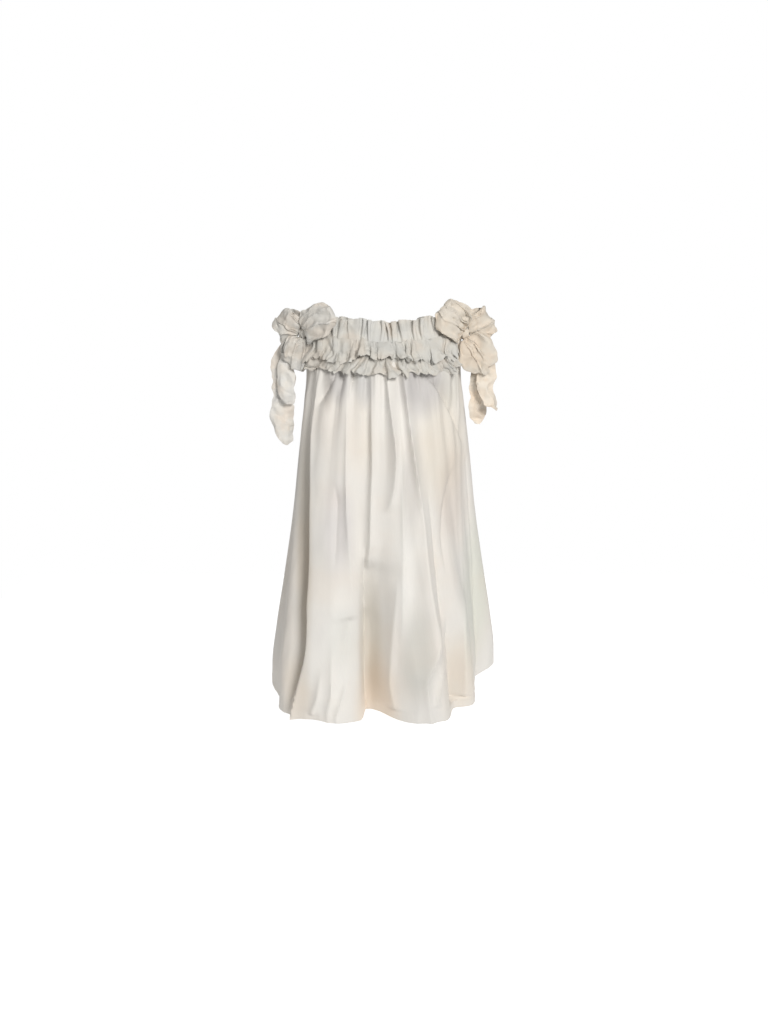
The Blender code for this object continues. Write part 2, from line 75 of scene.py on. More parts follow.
FORM = (
    # height, half width, front depth, back depth, centre moved back, power, turned (degrees)
    (-790, 240, 224, 176, 22, 2.4, 12),
    (-700, 238, 213, 170, 20, 2.4, 11),
    (-620, 227, 200, 160, 17, 2.4, 9.5),
    (-500, 206, 180, 144, 13, 2.3, 6.5),
    (-370, 186, 162, 127, 9, 2.3, 3.5),
    (-250, 173, 147, 112, 5, 2.3, 1.2),
    (-150, 161, 134, 101, 2, 2.3, 0),
    (-75, 153, 120, 95, 0, 2.3, 0),
    (-34, 156, 109, 91, 0, 2.3, 0),
    (0, 158, 99, 86, 0, 2.3, 0),
    (80, 154, 90, 80, 0, 2.3, 0),
)
ARMHOLE = (
    # height, half width
    (-76, 0),
    (-72, 0),
    (-66, 15),
    (-54, 28),
    (-32, 34),
    (-8, 30),
    (60, 26),
)
FLUTES = (
    # angle at the chest, angle at the hem, reach at the hem
    (-178, -178, -12),
    (-158, -160, 13),
    (-138, -141, -12),
    (-119, -123, 12),
    (-104, -106, -8),
    (-90, -86, 6),
    (-81, -76, 0),
    (-74, -62, 22),
    (-58, -49, 6),
    (-38, -33, 17),
    (-11, -17, -40),
    (4, 7, 15),
    (12, 18, 18),
    (20, 31, -26),
    (38, 41, -14),
    (54, 58, -46),
    (70, 76, -46),
    (88, 90, 10),
    (102, 106, -8),
    (118, 121, 13),
    (138, 141, -12),
    (160, 161, 13),
)
FLUTE_GROWTH = (
    # height, share
    (-790, 1.08),
    (-748, 1.0),
    (-600, 0.78),
    (-430, 0.5),
    (-270, 0.28),
    (-140, 0.12),
    (-60, 0.0),
    (80, 0.0),
)

# Each half of the dress. Scallops are the folds of its frills.
PANELS = {
    # name: facing, middle of the top edge, middle of the hem, gathers, pleats, scallops, seed
    "front": (1, -34.0, -763.0, 14, 15, 12, 3),
    "back": (-1, -49.0, -748.0, 11, 13, 11, 11),
}

# Creases of the panels, each a trough or ridge that runs down the cloth. Its two flanks have widths
# of their own, so one side can be steep and the other long and soft.
# rows of a crease: height, x, depth (outwards), width of its left flank, of its right flank
FRONT_CREASES = (
    ((-70, -122, 0, 10, 30), (-134, -126, 6, 10, 30), (-213, -132, 9, 12, 34),
     (-330, -132, 11, 12, 44), (-449, -133, 14, 12, 56), (-527, -135, 16, 12, 64),
     (-606, -138, 17, 12, 64), (-699, -158, 16, 11, 70), (-763, -170, 15, 10, 70)),
    ((-120, -142, 0, 10, 8), (-230, -152, -9, 12, 8), (-449, -156, -12, 14, 8),
     (-606, -160, -12, 14, 8), (-700, -182, -8, 10, 8), (-750, -192, 0, 10, 9)),
    ((-66, -96, 0, 4, 10), (-84, -99, -6, 4, 12), (-108, -110, -7, 4, 12),
     (-145, -123, 0, 4, 8)),
    ((-60, -83, 0, 5, 9), (-82, -83, -6, 5, 10), (-126, -86, 0, 4, 9)),
    ((-58, -61, 0, 3, 6), (-78, -62, -6, 3, 8), (-122, -67, 0, 3, 6)),
    ((-58, -36, 0, 5, 8), (-90, -37, -5, 5, 10), (-136, -39, 0, 4, 8)),
    ((-100, -70, 0, 8, 14), (-160, -69, 4, 7, 14), (-320, -69, 6, 9, 16),
     (-438, -62, 5, 12, 16), (-560, -56, 0, 14, 16)),
    ((-60, -24, 1, 4, 14), (-166, -23, 7, 4, 18), (-243, -22, 10, 6, 22),
     (-322, -24, 12, 10, 24), (-401, -26, 13, 11, 26), (-430, -29, 11, 11, 26),
     (-462, -33, 0, 10, 24)),
    ((-60, 3, 1, 4, 8), (-100, 7, 5, 5, 8), (-165, 15, 6, 6, 9), (-231, 22, 8, 10, 10),
     (-279, 20, 8, 11, 11), (-318, 13, 6, 9, 14), (-342, 1, 0, 6, 14)),
    ((-90, 27, 0, 6, 8), (-160, 29, 3, 7, 8), (-318, 34, 5, 10, 9), (-435, 36, 6, 14, 12),
     (-540, 36, 4, 16, 14), (-600, 34, 0, 16, 14)),
    ((-60, 36, 1, 4, 14), (-104, 39, 6, 4, 18), (-147, 43, 9, 5, 20), (-204, 49, 14, 7, 20),
     (-282, 59, 16, 10, 22), (-361, 69, 17, 12, 24), (-440, 77, 17, 13, 24),
     (-538, 92, 15, 15, 20), (-600, 105, 13, 22, 14), (-634, 94, 15, 24, 16),
     (-673, 79, 15, 24, 20), (-706, 82, 13, 24, 20), (-763, 92, 9, 22, 20)),
    ((-300, 79, 0, 3, 5), (-404, 92, -4, 3, 5), (-486, 100, -5, 3, 6),
     (-566, 109, -4, 3, 6), (-640, 118, 0, 3, 6)),
    ((-58, 66, 0, 16, 10), (-78, 68, -8, 16, 12), (-108, 70, -6, 16, 12),
     (-136, 71, 0, 14, 14)),
    ((-72, 70, 0, 3, 14), (-88, 85, -4, 3, 18), (-108, 105, -7, 3, 20),
     (-143, 126, -6, 4, 20), (-187, 146, -4, 5, 18), (-230, 160, 0, 6, 14)),
    ((-262, 142, 0, 6, 18), (-300, 128, -3, 7, 22), (-345, 117, -5, 7, 26),
     (-400, 114, -5, 7, 26), (-480, 120, 0, 8, 24)),
    ((-250, 166, 0, 3, 6), (-285, 169, -3, 3, 7), (-393, 180, -5, 3, 8),
     (-527, 190, -5, 3, 8), (-740, 200, -4, 3, 8)),
    ((-408, -33, 0, 3, 20), (-455, -41, -8, 2, 24), (-510, -43, -16, 2, 30),
     (-620, -43, -22, 2, 36), (-723, -41, -26, 2, 38), (-766, -39, -26, 2, 38)),
    ((-470, 26, 0, 16, 16), (-514, 22, 5, 16, 16), (-597, 15, 7, 18, 16),
     (-681, 11, 8, 18, 14), (-740, 20, 7, 16, 14)),
    ((-546, -68, 0, 12, 14), (-556, -70, -7, 16, 16), (-600, -78, -8, 18, 18),
     (-660, -84, -5, 18, 18), (-720, -92, 0, 16, 16)),
    ((-590, -99, 0, 5, 6), (-640, -98, 3, 7, 7), (-690, -98, 5, 9, 8),
     (-741, -105, 4, 9, 8), (-766, -107, 2, 9, 8)),
    ((-640, -116, 0, 5, 6), (-700, -122, 4, 7, 7), (-751, -134, 4, 7, 7)),
    ((-660, -70, 0, 4, 5), (-690, -76, 4, 5, 5), (-730, -86, 4, 5, 5), (-760, -92, 3, 5, 5)),
    ((-560, 122, 0, 3, 16), (-613, 126, -6, 3, 22), (-677, 133, -11, 3, 26),
     (-745, 138, -12, 3, 26)),
    ((-620, 122, 0, 5, 6), (-650, 117, 4, 6, 7), (-690, 107, 5, 6, 8), (-730, 101, 3, 6, 8)),
    ((-290, -90, 0, 5, 12), (-330, -90, -4, 5, 14), (-398, -92, -4, 5, 14),
     (-450, -92, 0, 5, 12)),
    ((-480, 158, 0, 6, 14), (-560, 160, 4, 8, 16), (-680, 164, 5, 8, 16),
     (-740, 166, 5, 8, 16)),
)
BACK_CREASES = (
    ((-80, 8, 0, 8, 20), (-180, 12, 6, 9, 22), (-330, 14, 10, 11, 26), (-470, 6, 11, 12, 28),
     (-600, 10, 0, 12, 28)),
    ((-80, -34, 0, 18, 5), (-160, -38, 6, 20, 6), (-360, -44, 9, 24, 9),
     (-560, -52, 10, 26, 11), (-745, -60, 8, 26, 11)),
    ((-75, 46, 0, 4, 12), (-110, 49, -6, 5, 14), (-190, 55, 0, 5, 12)),
    ((-75, -72, 0, 10, 4), (-120, -78, -6, 12, 4), (-210, -86, 0, 10, 4)),
    ((-85, 78, 0, 5, 16), (-200, 84, 7, 8, 20), (-400, 92, 10, 11, 24), (-600, 104, 11, 13, 26),
     (-735, 108, 8, 13, 26)),
    ((-90, -104, 0, 16, 6), (-220, -114, 6, 20, 8), (-420, -120, 9, 24, 10),
     (-540, -128, 0, 20, 10)),
    ((-200, 122, 0, 14, 4), (-330, 128, -5, 18, 4), (-520, 138, -6, 20, 4),
     (-700, 150, -5, 20, 4)),
    ((-120, -140, 0, 4, 12), (-260, -150, -5, 4, 14), (-470, -158, -7, 4, 16),
     (-735, -172, -6, 4, 16)),
    ((-420, 48, 0, 5, 22), (-520, 52, -8, 4, 26), (-640, 56, -13, 4, 30),
     (-750, 60, -15, 4, 30)),
    ((-500, -4, 0, 14, 14), (-620, -8, 6, 16, 16), (-750, -6, 7, 16, 16)),
    ((-560, -96, 0, 24, 5), (-640, -100, -9, 26, 4), (-745, -104, -11, 26, 4)),
    ((-620, 22, 0, 5, 6), (-690, 26, 4, 7, 7), (-750, 24, 4, 7, 7)),
    ((-600, -150, 0, 5, 8), (-680, -156, 4, 6, 8), (-735, -160, 4, 6, 8)),
    ((-110, 140, 0, 5, 14), (-240, 152, 6, 8, 16), (-420, 160, 7, 9, 18),
     (-580, 172, 0, 9, 18)),
)
CREASES = {"front": FRONT_CREASES, "back": BACK_CREASES}
CREASE_SCALE = 1.9
CREST_ROUND = 0.8
FACING_LEAST = 0.25

# How much the hem of the front is lifted
HEM_LIFTS = (
    # x, lift
    (-300, 0),
    (-205, 2),
    (-165, 8),
    (-120, 13),
    (-75, 10),
    (-50, 3),
    (-42, 0),
    (-8, 3),
    (30, 1),
    (70, 4),
    (95, 6),
    (130, 3),
    (160, 2),
    (300, 0),
)
HEM_LIFT_FROM = -690.0
HEM_LIFT_OVER = 60.0

# Frills, as in the part's own table, with a fuller wave
FRILLS = {
    # name: foot at the middle, foot at the ends, clearance at the foot, wave at the foot, end
    "upper": (-17.0, -44.0, 6.0, 10.0, 0.85),
    "lower": (-41.0, -60.0, 3.0, 9.0, 0.85),
}
UPPER_ROOT = 17.0
LOWER_ROOT_DROP = 14.2
FRILL_END_RISE = 6.0
HALF_ROUND = 165.0
FRILL_END_POWER = 8

# Bows, as in the part's own tables
KNOT_PLACE = 0.93
KNOT_RADIUS = 9.5
KNOT_TALL = 1.12
LOOPS = {
    # name: facing outwards, lean from upright outwards, length, width, puff, layer, pleats, seed
    "left_upper_loop": (34, -62, 80, 92, 15, 6.0, 3.4, 5),
    "left_outer_loop": (26, 66, 54, 84, 12, 3.5, 2.7, 12),
    "left_lower_loop": (-2, 166, 60, 84, 10, 4.5, 3.2, 19),
    "right_upper_loop": (34, -52, 74, 92, 15, 6.0, 3.6, 36),
    "right_outer_loop": (26, 70, 58, 90, 13, 3.5, 2.7, 43),
    "right_lower_loop": (-2, 146, 80, 88, 11, 4.5, 3.2, 50),
}
LOOP_ROOT_WIDTH = 11.0
LOOP_PART = 1.6
ROOT_REACH = 9.0
TAILS = {
    # each row: out from the centre plane, y, height, half width, roll (degrees), cup
    "left_long_tail": (
        (160, -43, -20.5, 5, 0, 0),
        (180, -31, -32, 11, 10, 2),
        (199, -28, -47, 17, 10, 2),
        (203, -29, -66, 21, 14, 6),
        (201, -33, -100, 23, 8, 7),
        (203, -34, -130, 22, -5, 4),
        (205, -34, -148, 21, 0, 2),
        (204, -34, -170, 23, 10, 6),
        (200, -34, -195, 22, 20, 7),
        (193, -34, -214, 16, 25, 5),
        (188, -34, -226, 6, 25, 1),
    ),
    "left_short_tail": (
        (161, -48, -20.3, 5, 0, 0),
        (180, -45, -34, 9, 5, 2),
        (190, -46, -52, 13, 5, 3),
        (194, -50, -78, 17, 0, 4),
        (194, -53, -108, 18, -8, 4),
        (192, -52, -132, 14, -10, 3),
        (189, -50, -146, 6, -10, 1),
    ),
    "right_long_tail": (
        (160, -43, -19.8, 5, 0, 0),
        (176, -37, -30, 9, -5, 2),
        (190, -34, -48, 14, -12, 4),
        (193, -34, -75, 19, -10, 6),
        (192, -34, -105, 20, 8, 6),
        (190, -34, -130, 19, 14, 4),
        (189, -34, -154, 18, 8, 5),
        (188, -34, -174, 13, 0, 4),
        (187, -34, -186, 5, 0, 1),
    ),
    "right_short_tail": (
        (161, -48, -20.3, 5, 0, 0),
        (180, -45, -34, 9, 0, 2),
        (197, -46, -58, 18, 0, 3),
        (203, -49, -86, 21, 6, 4),
        (203, -53, -112, 17, 12, 4),
        (209, -56, -132, 14, 24, 3),
        (219, -60, -144, 13, 36, 2),
        (228, -62, -150, 5, 44, 1),
    ),
}
STRAP_HALF_WIDTH = 5.0
STRAP_RISE = 17.0
STRAP_GAP = 2.1
STRAP_CREST = 1.3
STRAP_FLAT_BY = 0.4
STRAP_TO_KNOT = (0.0, 0.62, 0.78)
FLUTE_TURN_FROM = -60.0
FLUTE_TURN_OVER = 690.0
TINY = 1e-9
TURN = 2 * math.pi

# Noise patterns: how far each seed moves them, and their settings
HILL_SHIFT = (7.3, 3.1, 5.7)
CRUMPLE_SHIFT = (2.9, 8.3, 1.7)
RIDGE_SHIFT = (4.1, 2.3, 8.9)
STIR_SHIFT = (3.7, 9.1, 6.3)
HILL_DIMENSION = 0.6
HILL_LACUNARITY = 2.0
HILL_OCTAVES = 2
CRUMPLE_SPAN = 1.6
RIDGE_BEND = 0.35
RIDGE_BEND_SIZE = 0.8
RIDGE_SHARPNESS = 3.2

# Small forms of the cloth. The squeeze is the share of the height that the pattern sees.
SURFACES = {
    # rows of a surface: pattern, reach, size, squeeze, number added to the seed
    "panel": (("hills", 1.1, 26, 0.16, 0), ("hills", 1.6, 70, 1, 1)),
    "low_panel": (("crumple", 0.7, 55, 0.6, 2),),
    "header": (("ridges", 1.5, 18, 0.5, 0), ("crumple", 2.6, 26, 0.6, 0)),
    "frill": (("crumple", 3.4, 27, 1, 0), ("ridges", 2.2, 24, 1, 0)),
    "loop": (("ridges", 2.6, 26, 1, 0), ("crumple", 3.4, 26, 1, 0)),
    "fine_loop": (("crumple", 1, 12, 1, 1),),
    "tail": (("crumple", 1.6, 16, 1, 0), ("ridges", 3.0, 28, 1, 0)),
    "strap": (("hills", 0.4, 7, 1, 0),),
}
STIRS = {
    # rows of a piece: reach, size, seed
    "header": ((7.0, 32, 1),),
    "frill": ((9.0, 34, 1), (6.0, 19, 3), (2.4, 11, 2)),
    "loop": ((9.0, 40, 1), (5.0, 18, 3)),
    "tail": ((7.0, 34, 1), (2.6, 13, 2)),
}
WANDERS = {
    # rows of a piece: reach in folds, rate, times that the seed is added
    "header": ((0.30, 2.1, 1), (0.16, 5.3, 0)),
    "frill": ((0.33, 1.7, 1), (0.16, 4.1, 2)),
}

# Rows and columns of each mesh, and the seeds
MESHES = {
    # piece: rows, columns
    "panel": (150, 300),
    "casing": (9, 300),
    "header": (19, 420),
    "frill": (29, 560),
    "knot": (40, 72),
    "loop": (110, 51),
    "tail": (130, 33),
    "strap": (90, 17),
}
SEEDS_ADDED = {"casing": 20, "header": 30, "upper": 40, "lower": 60}
TAIL_SEEDS = {
    "left_long_tail": 3,
    "left_short_tail": 8,
    "right_long_tail": 20,
    "right_short_tail": 25,
}
STRAP_SEED = 5

# Gathers below the casing, and the finer ones between them
GATHER_SIZE = 0.8
GATHER_VARIES = 0.2
GATHER_CHANGE = 1.7
GATHER_START = 0.6
GATHER_BREAK = 0.25
FINE_GATHERS = 2.6
FINE_WANDER = 0.5
FINE_WANDER_RATE = 5
FINE_LENGTH = 70
LENGTH_VARIES = 55
FINE_DEPTH = 1.1
DEPTH_VARIES = 0.7
FINE_FULL_AT = 14
FINE_POWER = 1.6

# Panels: rows closer at the top, small forms that fade to the sides and upwards, a stitched hem
PANEL_ROW_POWER = 1.05
SIDE_FADE = 0.08
LOW_FROM = -480
LOW_OVER = 200
HEM_STITCH = 11.0
HEM_TURN_TOP = 12.0
HEM_TURN_OVER = 2
HEM_TURN = 0.35
PUCKER = 0.35
PUCKER_RATE = 210
PUCKER_SWAY = 3
PUCKER_SWAY_RATE = 37
PUCKER_SPREAD = 9

# Casings, shirred between two rows of stitches
CASING_THIN = 1.1
SHIRRS_PER_PLEAT = 2
SHIRR = 0.55
SHIRR_SIZE = 0.6
SHIRR_VARIES = 0.4
SHIRR_WANDER = 0.3
STITCHES = (0.12, 0.88)
STITCH_DEPTH = 0.5
STITCH_SPREAD = 0.006

# Headers, in pleats
HEADER_STRETCH = 1.1
HEADER_TRIM = 2.2
HEADER_DEPTH = 4.8
HEADER_VARIES = 0.55
HEADER_POWER = 0.6
HEADER_FOOT = 0.22
HEADER_GROWTH = 0.8
HEADER_LAP = 0.75
HEADER_SLIDE = 0.4

# Frills, in scallops. Swing and drop are each fold's own sideways and lengthwise change.
FRILL_VARIES = 0.35
FRILL_POWER = 0.75
FRILL_END_FADE = 0.5
STAND_GROWTH = 0.7
FRILL_DROP = 0.24
ROOT_VARIES = 3.6
RIPPLE = 1.8
RIPPLE_RATE = 9
JAG = 0.10
JAG_RATE = 3.4
JAG_SWING = 2
NICK = 0.05
NICK_RATE = 23
FINE_PLEAT = 1.2
FINE_SWING = 1.3
FINE_AT = 0.3
FINE_SPREAD = 0.06
FRILL_LAP = 0.75
LAP_SWING = 0.3
LAP_GROWTH = 0.6
FRILL_SLIDE = 0.5
FRILL_EDGE = 0.999
TAKEN_UP = 0.8
LEAST_LEVEL = 0.6
FRILL_LIE = 2.0
LIE_AT_ROOT = 0.5
LIE_GROWTH = 3
ROUGH_GROWTH = 0.6
CURL = 3.0
CURL_FROM = 0.7
CURL_OVER = 0.3
DENT_SHARE = 0.6
DENT = 0.8

# Knots
KNOT_POLE = 0.06
KNOT_FOLD = 0.07
KNOT_FOLDS = 4
KNOT_TWIST = 2.2
KNOT_FINE_FOLD = 0.035
KNOT_FINE_COUNT = 9
KNOT_FINE_TWIST = 3
GROOVE = 0.10
GROOVE_SWAY = 0.35
GROOVE_SPREAD = 0.02

# Bow loops. Far is 0 at the knot and 1 at the loop's far end.
SPARE_FOLDS = 4
DRIFT = 0.22
DRIFT_RATE = 3.1
FAR_DRIFT = 0.16
FAR_DRIFT_RATE = 2.2
FAR_DRIFT_TURN = 4.0
FIRST_FOLD = 0.3
CREST_POWER = 1.7
LOOP_VARIES = 0.6
SWELL_POWER = 0.8
SWELL_ROOT_POWER = 0.3
EDGE_POWER = 3.0
EDGE_FLAT = 0.8
LOOP_NARROWS = 0.30
TIP_VARIES = 0.06
TIP_WAVE = 0.04
TIP_RATE = 5.3
LOOP_ROUND = 0.36
ROUND_POWER = 2.2
LOOP_PLEAT = 9.0
PLEAT_GROWTH = 1.2
PLEAT_FADE = 0.45
LOOP_LAP = 0.34
LAP_FADE = 0.4
LAP_LEAST = 0.5
LOOP_GATHER = 3.0
LOOP_GATHERS = 5.2
SWAY = 0.5
SWAY_RATE = 5
GATHER_FADE = 1.2
LOOP_BACK = -0.35
LOOP_FINE = 3.0
LOOP_FINE_LESS = 1.8
LOOP_PROUD = 1.0
LOOP_GROWTH = 1.5
STIR_FADE = 0.3

# Tie ends and straps
TAIL_FULL_AT = 0.15
TAIL_PLEAT = 1.3
TAIL_RATE = 5
PLEAT_TO = 0.1
PLEAT_OVER = 0.35
STRAP_PLEAT = 0.5
STRAP_PLEATS = 1.5

# Tones of the cloth, and the tones that its soft patches turn to. The panel's ivory is the cloth's
# own tone. The casing, header and frills are darker than the panel: painted shade. The bows are
# darker too, grey on the left and warm on the right, and the right tails warmer than the left:
# painted shade and warm painted light, since all of them are the one ivory cotton.
IVORY = (0.78, 0.755, 0.715)
PEACH = (0.79, 0.70, 0.615)
GREY = (0.70, 0.70, 0.695)
PIECE_TONES_LIT_AND_SHADED = {
    # part of a node's name: tone, patches in a metre, strength of its patches
    "panel": (IVORY, 7.0, 0.22),
    "casing": ((0.60, 0.585, 0.545), 16.0, 0.4),
    "header": ((0.65, 0.635, 0.595), 20.0, 0.6),
    "frill": ((0.61, 0.595, 0.555), 20.0, 0.5),
    "left": ((0.66, 0.64, 0.60), 26.0, 0.5),
    "right": ((0.70, 0.64, 0.555), 26.0, 0.5),
    "left_long_tail": ((0.76, 0.735, 0.69), 24.0, 0.6),
    "left_short_tail": ((0.76, 0.735, 0.69), 24.0, 0.6),
    "right_long_tail": ((0.79, 0.72, 0.625), 24.0, 0.6),
    "right_short_tail": ((0.79, 0.72, 0.625), 24.0, 0.6),
}

# Soft spots of painted light and shade on the front panel, and a few tints. The cloth's tone is
# multiplied by the spot's. The darker spots are painted shade: on the left side away from the key
# light, on crease flanks, under the frills and in the recesses, where the peach is painted warm
# bounce light. The two lighter ones are painted light on the left lobe and on a ridge. The other
# warm, rose, violet, green and peach spots are tints.
PAINTED_LIGHT_AND_SHADE = (
    # name, x, height, half width, half height, tone
    ("left_strip", -158, -430, 24, 330, (0.84, 0.81, 0.76)),
    ("lobe_left", -112, -640, 70, 220, (1.08, 1.085, 1.09)),
    ("ridge", 42, -440, 30, 170, (1.06, 1.07, 1.075)),
    ("step", 50, -300, 24, 140, (0.85, 0.845, 0.845)),
    ("strip", 18, -200, 16, 120, (0.92, 0.92, 0.92)),
    ("left_corner", -176, -700, 44, 90, (0.98, 0.95, 0.91)),
    ("bust_left", -86, -96, 28, 56, (0.77, 0.77, 0.79)),
    ("bust_leaf", -108, -108, 14, 56, (0.76, 0.75, 0.745)),
    ("bust_middle", -38, -104, 22, 56, (0.82, 0.83, 0.85)),
    ("bust_right", 74, -100, 66, 80, (0.76, 0.755, 0.775)),
    ("side_right", 132, -100, 34, 70, (0.90, 0.90, 0.88)),
    ("warm_right", 112, -225, 76, 140, (0.98, 0.95, 0.90)),
    ("warm_left", -45, -190, 36, 110, (0.99, 0.97, 0.945)),
    ("rose_right", 134, -320, 44, 130, (0.94, 0.90, 0.88)),
    ("violet_left", -90, -370, 44, 130, (0.92, 0.915, 0.94)),
    ("green_right", 196, -540, 50, 220, (0.94, 0.97, 0.93)),
    ("grey_left", -82, -590, 46, 80, (0.93, 0.94, 0.935)),
    ("grey_right", 66, -622, 44, 130, (0.84, 0.85, 0.84)),
    ("recess", -14, -745, 56, 150, (0.99, 0.90, 0.81)),
    ("recess_top", -26, -600, 30, 170, (0.90, 0.88, 0.84)),
    ("peach_lobe", 158, -700, 60, 130, (0.99, 0.955, 0.915)),
)
PAINTED_SPOT_FULL_AT = 0.7

# The cotton's patches, slubs, weave and sheen
PATCH_DETAIL = 3.0
GREY_AT = 0.38
PEACH_AT = 0.62
SLUB_SCALE = (900.0, 30.0, 1.0)
SLUB_DETAIL = 2.0
SLUB_SHADES = (0.965, 1.03)
ROUGHNESSES = (0.58, 0.76)
WEAVE_SCALE = 360.0
BUMP_STRENGTH = 0.25
BUMP_DEPTH = 0.0002
SHEEN = 0.12
SHEEN_ROUGHNESS = 0.4
SPECULAR = 0.35

# Floor, light and camera, in metres
FLOOR_SIZE = 3.4
FLOOR_PLACE = (0, 0.95, -1.33)
FLOOR_PAINT = {
    "Base Color": (0.9, 0.9, 0.9, 1),
    "Roughness": 0.9,
    "Emission Color": (1, 1, 1, 1),
    "Emission Strength": 0.78,
}
SKY_TINT = (1.0, 0.99, 0.97, 1)
SKY_STRENGTH = 0.34
BACKDROP_TINT = (1.0, 1.0, 1.0, 1)
BACKDROP_STRENGTH = 1.0
LIGHTS = (
    # name, place, target, size, power, colour
    ("key", (0.95, -2.55, 1.0), (0, 0, -0.35), 0.85, 62, (1.0, 0.985, 0.96)),
    ("fill", (-1.7, -1.6, 0.2), (0, 0, -0.5), 1.2, 4.0, (1.0, 0.95, 0.88)),
)
CAMERA_LENS = 36.41
CAMERA_SENSOR = 36.0
CAMERA_PLACE = (0.0, -2.10, 0.13)
CAMERA_LOOKS_DOWN = 13.615


def ease(t):
    """A smooth step from 0 to 1."""
    t = np.clip(t, 0.0, 1.0)
    return t * t * (3 - 2 * t)


def cosine(count):
    """A wave with one crest for each fold."""
    return np.cos(TURN * count)


def unit(vectors):
    """The directions of vectors, each of length 1."""
    return vectors / np.maximum(np.linalg.norm(vectors, axis=-1, keepdims=True), TINY)


def read(table, column, place):
    """The value of a column of a table at places in its first column, on a smooth curve."""
    rows = np.array(sorted(table), dtype=float)
    x, y = rows[:, 0], rows[:, column]
    chord = np.diff(y) / np.diff(x)
    before, after = chord[:-1], chord[1:]
    total = np.where(before + after == 0, 1.0, before + after)
    inner = np.where(before * after <= 0, 0.0, 2 * before * after / total)
    slope = np.concatenate(([chord[0]], inner, [chord[-1]]))
    place = np.clip(place, x[0], x[-1])
    k = np.clip(np.searchsorted(x, place, side="right") - 1, 0, len(x) - 2)
    width = x[k + 1] - x[k]
    t = (place - x[k]) / width
    return (
        y[k] * (2 * t**3 - 3 * t**2 + 1)
        + slope[k] * width * (t**3 - 2 * t**2 + t)
        + y[k + 1] * (3 * t**2 - 2 * t**3)
        + slope[k + 1] * width * (t**3 - t**2)
    )


def form_point(turn, height):
    """Points of the smooth form, at angles from the front centre."""
    across, along = np.sin(turn), np.cos(turn)
    half_width = read(FORM, 1, height)
    depth = np.where(along > 0, read(FORM, 2, height), read(FORM, 3, height))
    power = read(FORM, 5, height)
    reach = (np.abs(along / depth) ** power + np.abs(across / half_width) ** power) ** (-1 / power)
    turned = np.radians(read(FORM, 6, height))
    x = reach * (across * np.cos(turned) + along * np.sin(turned))
    y = reach * (across * np.sin(turned) - along * np.cos(turned))
    return np.stack([x, read(FORM, 4, height) + y, height + 0 * x], axis=-1)


def form_normal(turn, height):
    """The level directions that point out of the form."""
    step = 0.01
    run = form_point(turn + step, height) - form_point(turn - step, height)
    out = np.stack([run[..., 1], -run[..., 0], 0 * run[..., 0]], axis=-1)
    return out / np.linalg.norm(out, axis=-1, keepdims=True)


def flute_reach(turn, height):
    """How far the skirt's large folds stand out, or in."""
    down = ease((FLUTE_TURN_FROM - height) / FLUTE_TURN_OVER)
    degrees = np.degrees(turn)
    places = [a + (b - a) * down for a, b, _ in FLUTES]
    degrees = (degrees - places[0]) % 360 + places[0]
    places.append(places[0] + 360)
    reaches = [row[2] for row in FLUTES] + [FLUTES[0][2]]
    reach = np.zeros_like(degrees)
    for k in range(len(places) - 1):
        t = (degrees - places[k]) / (places[k + 1] - places[k])
        step = reaches[k] + (reaches[k + 1] - reaches[k]) * ease(t)
        reach = np.where((t >= 0) & (t < 1), step, reach)
    return reach * read(FLUTE_GROWTH, 1, height)


def noise_places(points, size, seed, shift):
    """Places in a noise pattern whose forms have a size, moved for each seed."""
    moved = Vector([seed * k for k in shift])
    return [Vector(p) + moved for p in (points.reshape(-1, 3) / size).tolist()]


def hills(points, size, seed):
    """Soft hills from -1 to 1, over points in millimetres."""
    places = noise_places(points, size, seed, HILL_SHIFT)
    values = [noise.fractal(p, HILL_DIMENSION, HILL_LACUNARITY, HILL_OCTAVES) for p in places]
    return np.array(values).reshape(points.shape[:-1])


def crumple(points, size, seed):
    """Facets of crushed cloth with creases between them, from about -1 to 1."""
    values = []
    for place in noise_places(points, size, seed, CRUMPLE_SHIFT):
        near = noise.voronoi(place, distance_metric="DISTANCE")[0]
        values.append(near[1] - near[0])
    return np.array(values).reshape(points.shape[:-1]) * CRUMPLE_SPAN - CRUMPLE_SPAN / 2


def ridges(points, size, seed):
    """Crisp ridges in random directions, from about -1 to 1."""
    values = []
    for place in noise_places(points, size, seed, RIDGE_SHIFT):
        place += RIDGE_BEND * noise.noise_vector(place * RIDGE_BEND_SIZE)
        values.append(1 - RIDGE_SHARPNESS * abs(noise.noise(place)))
    return np.array(values).reshape(points.shape[:-1])


PATTERNS = {"hills": hills, "crumple": crumple, "ridges": ridges}


def surface(name, points, seed):
    """The small forms of a surface, added up."""
    total = 0.0
    for pattern, reach, size, squeeze, added in SURFACES[name]:
        squeezed = points * np.array([1, 1, squeeze])
        total = total + reach * PATTERNS[pattern](squeezed, size, seed + added)
    return total


def stir(points, name, share):
    """Moves points a little, in soft random directions that neighbours share."""
    for reach, size, seed in STIRS[name]:
        moves = [noise.noise_vector(p) for p in noise_places(points, size, seed, STIR_SHIFT)]
        points = points + np.array(moves).reshape(points.shape) * (reach * share)[..., None]
    return points


def mesh_shares(piece, end):
    """Places of a mesh's columns, from one end to the other, and of its rows, from 0 to 1."""
    rows, columns = MESHES[piece]
    return np.linspace(-end, end, columns)[None, :], np.linspace(0, 1, rows)[:, None]


def fold_table(count, seed):
    """Random sizes from -1 to 1 for each fold of a row, three columns."""
    return np.random.default_rng(SEED * 100 + seed).uniform(-1, 1, (count + 4, 3))


def by_fold(table, column, place):
    """A column of a fold table at places along the row, counted in folds."""
    place = np.clip(place, 0, len(table) - 2.001)
    k = np.floor(place).astype(int)
    t = ease(place - k)
    return table[k, column] * (1 - t) + table[k + 1, column] * t


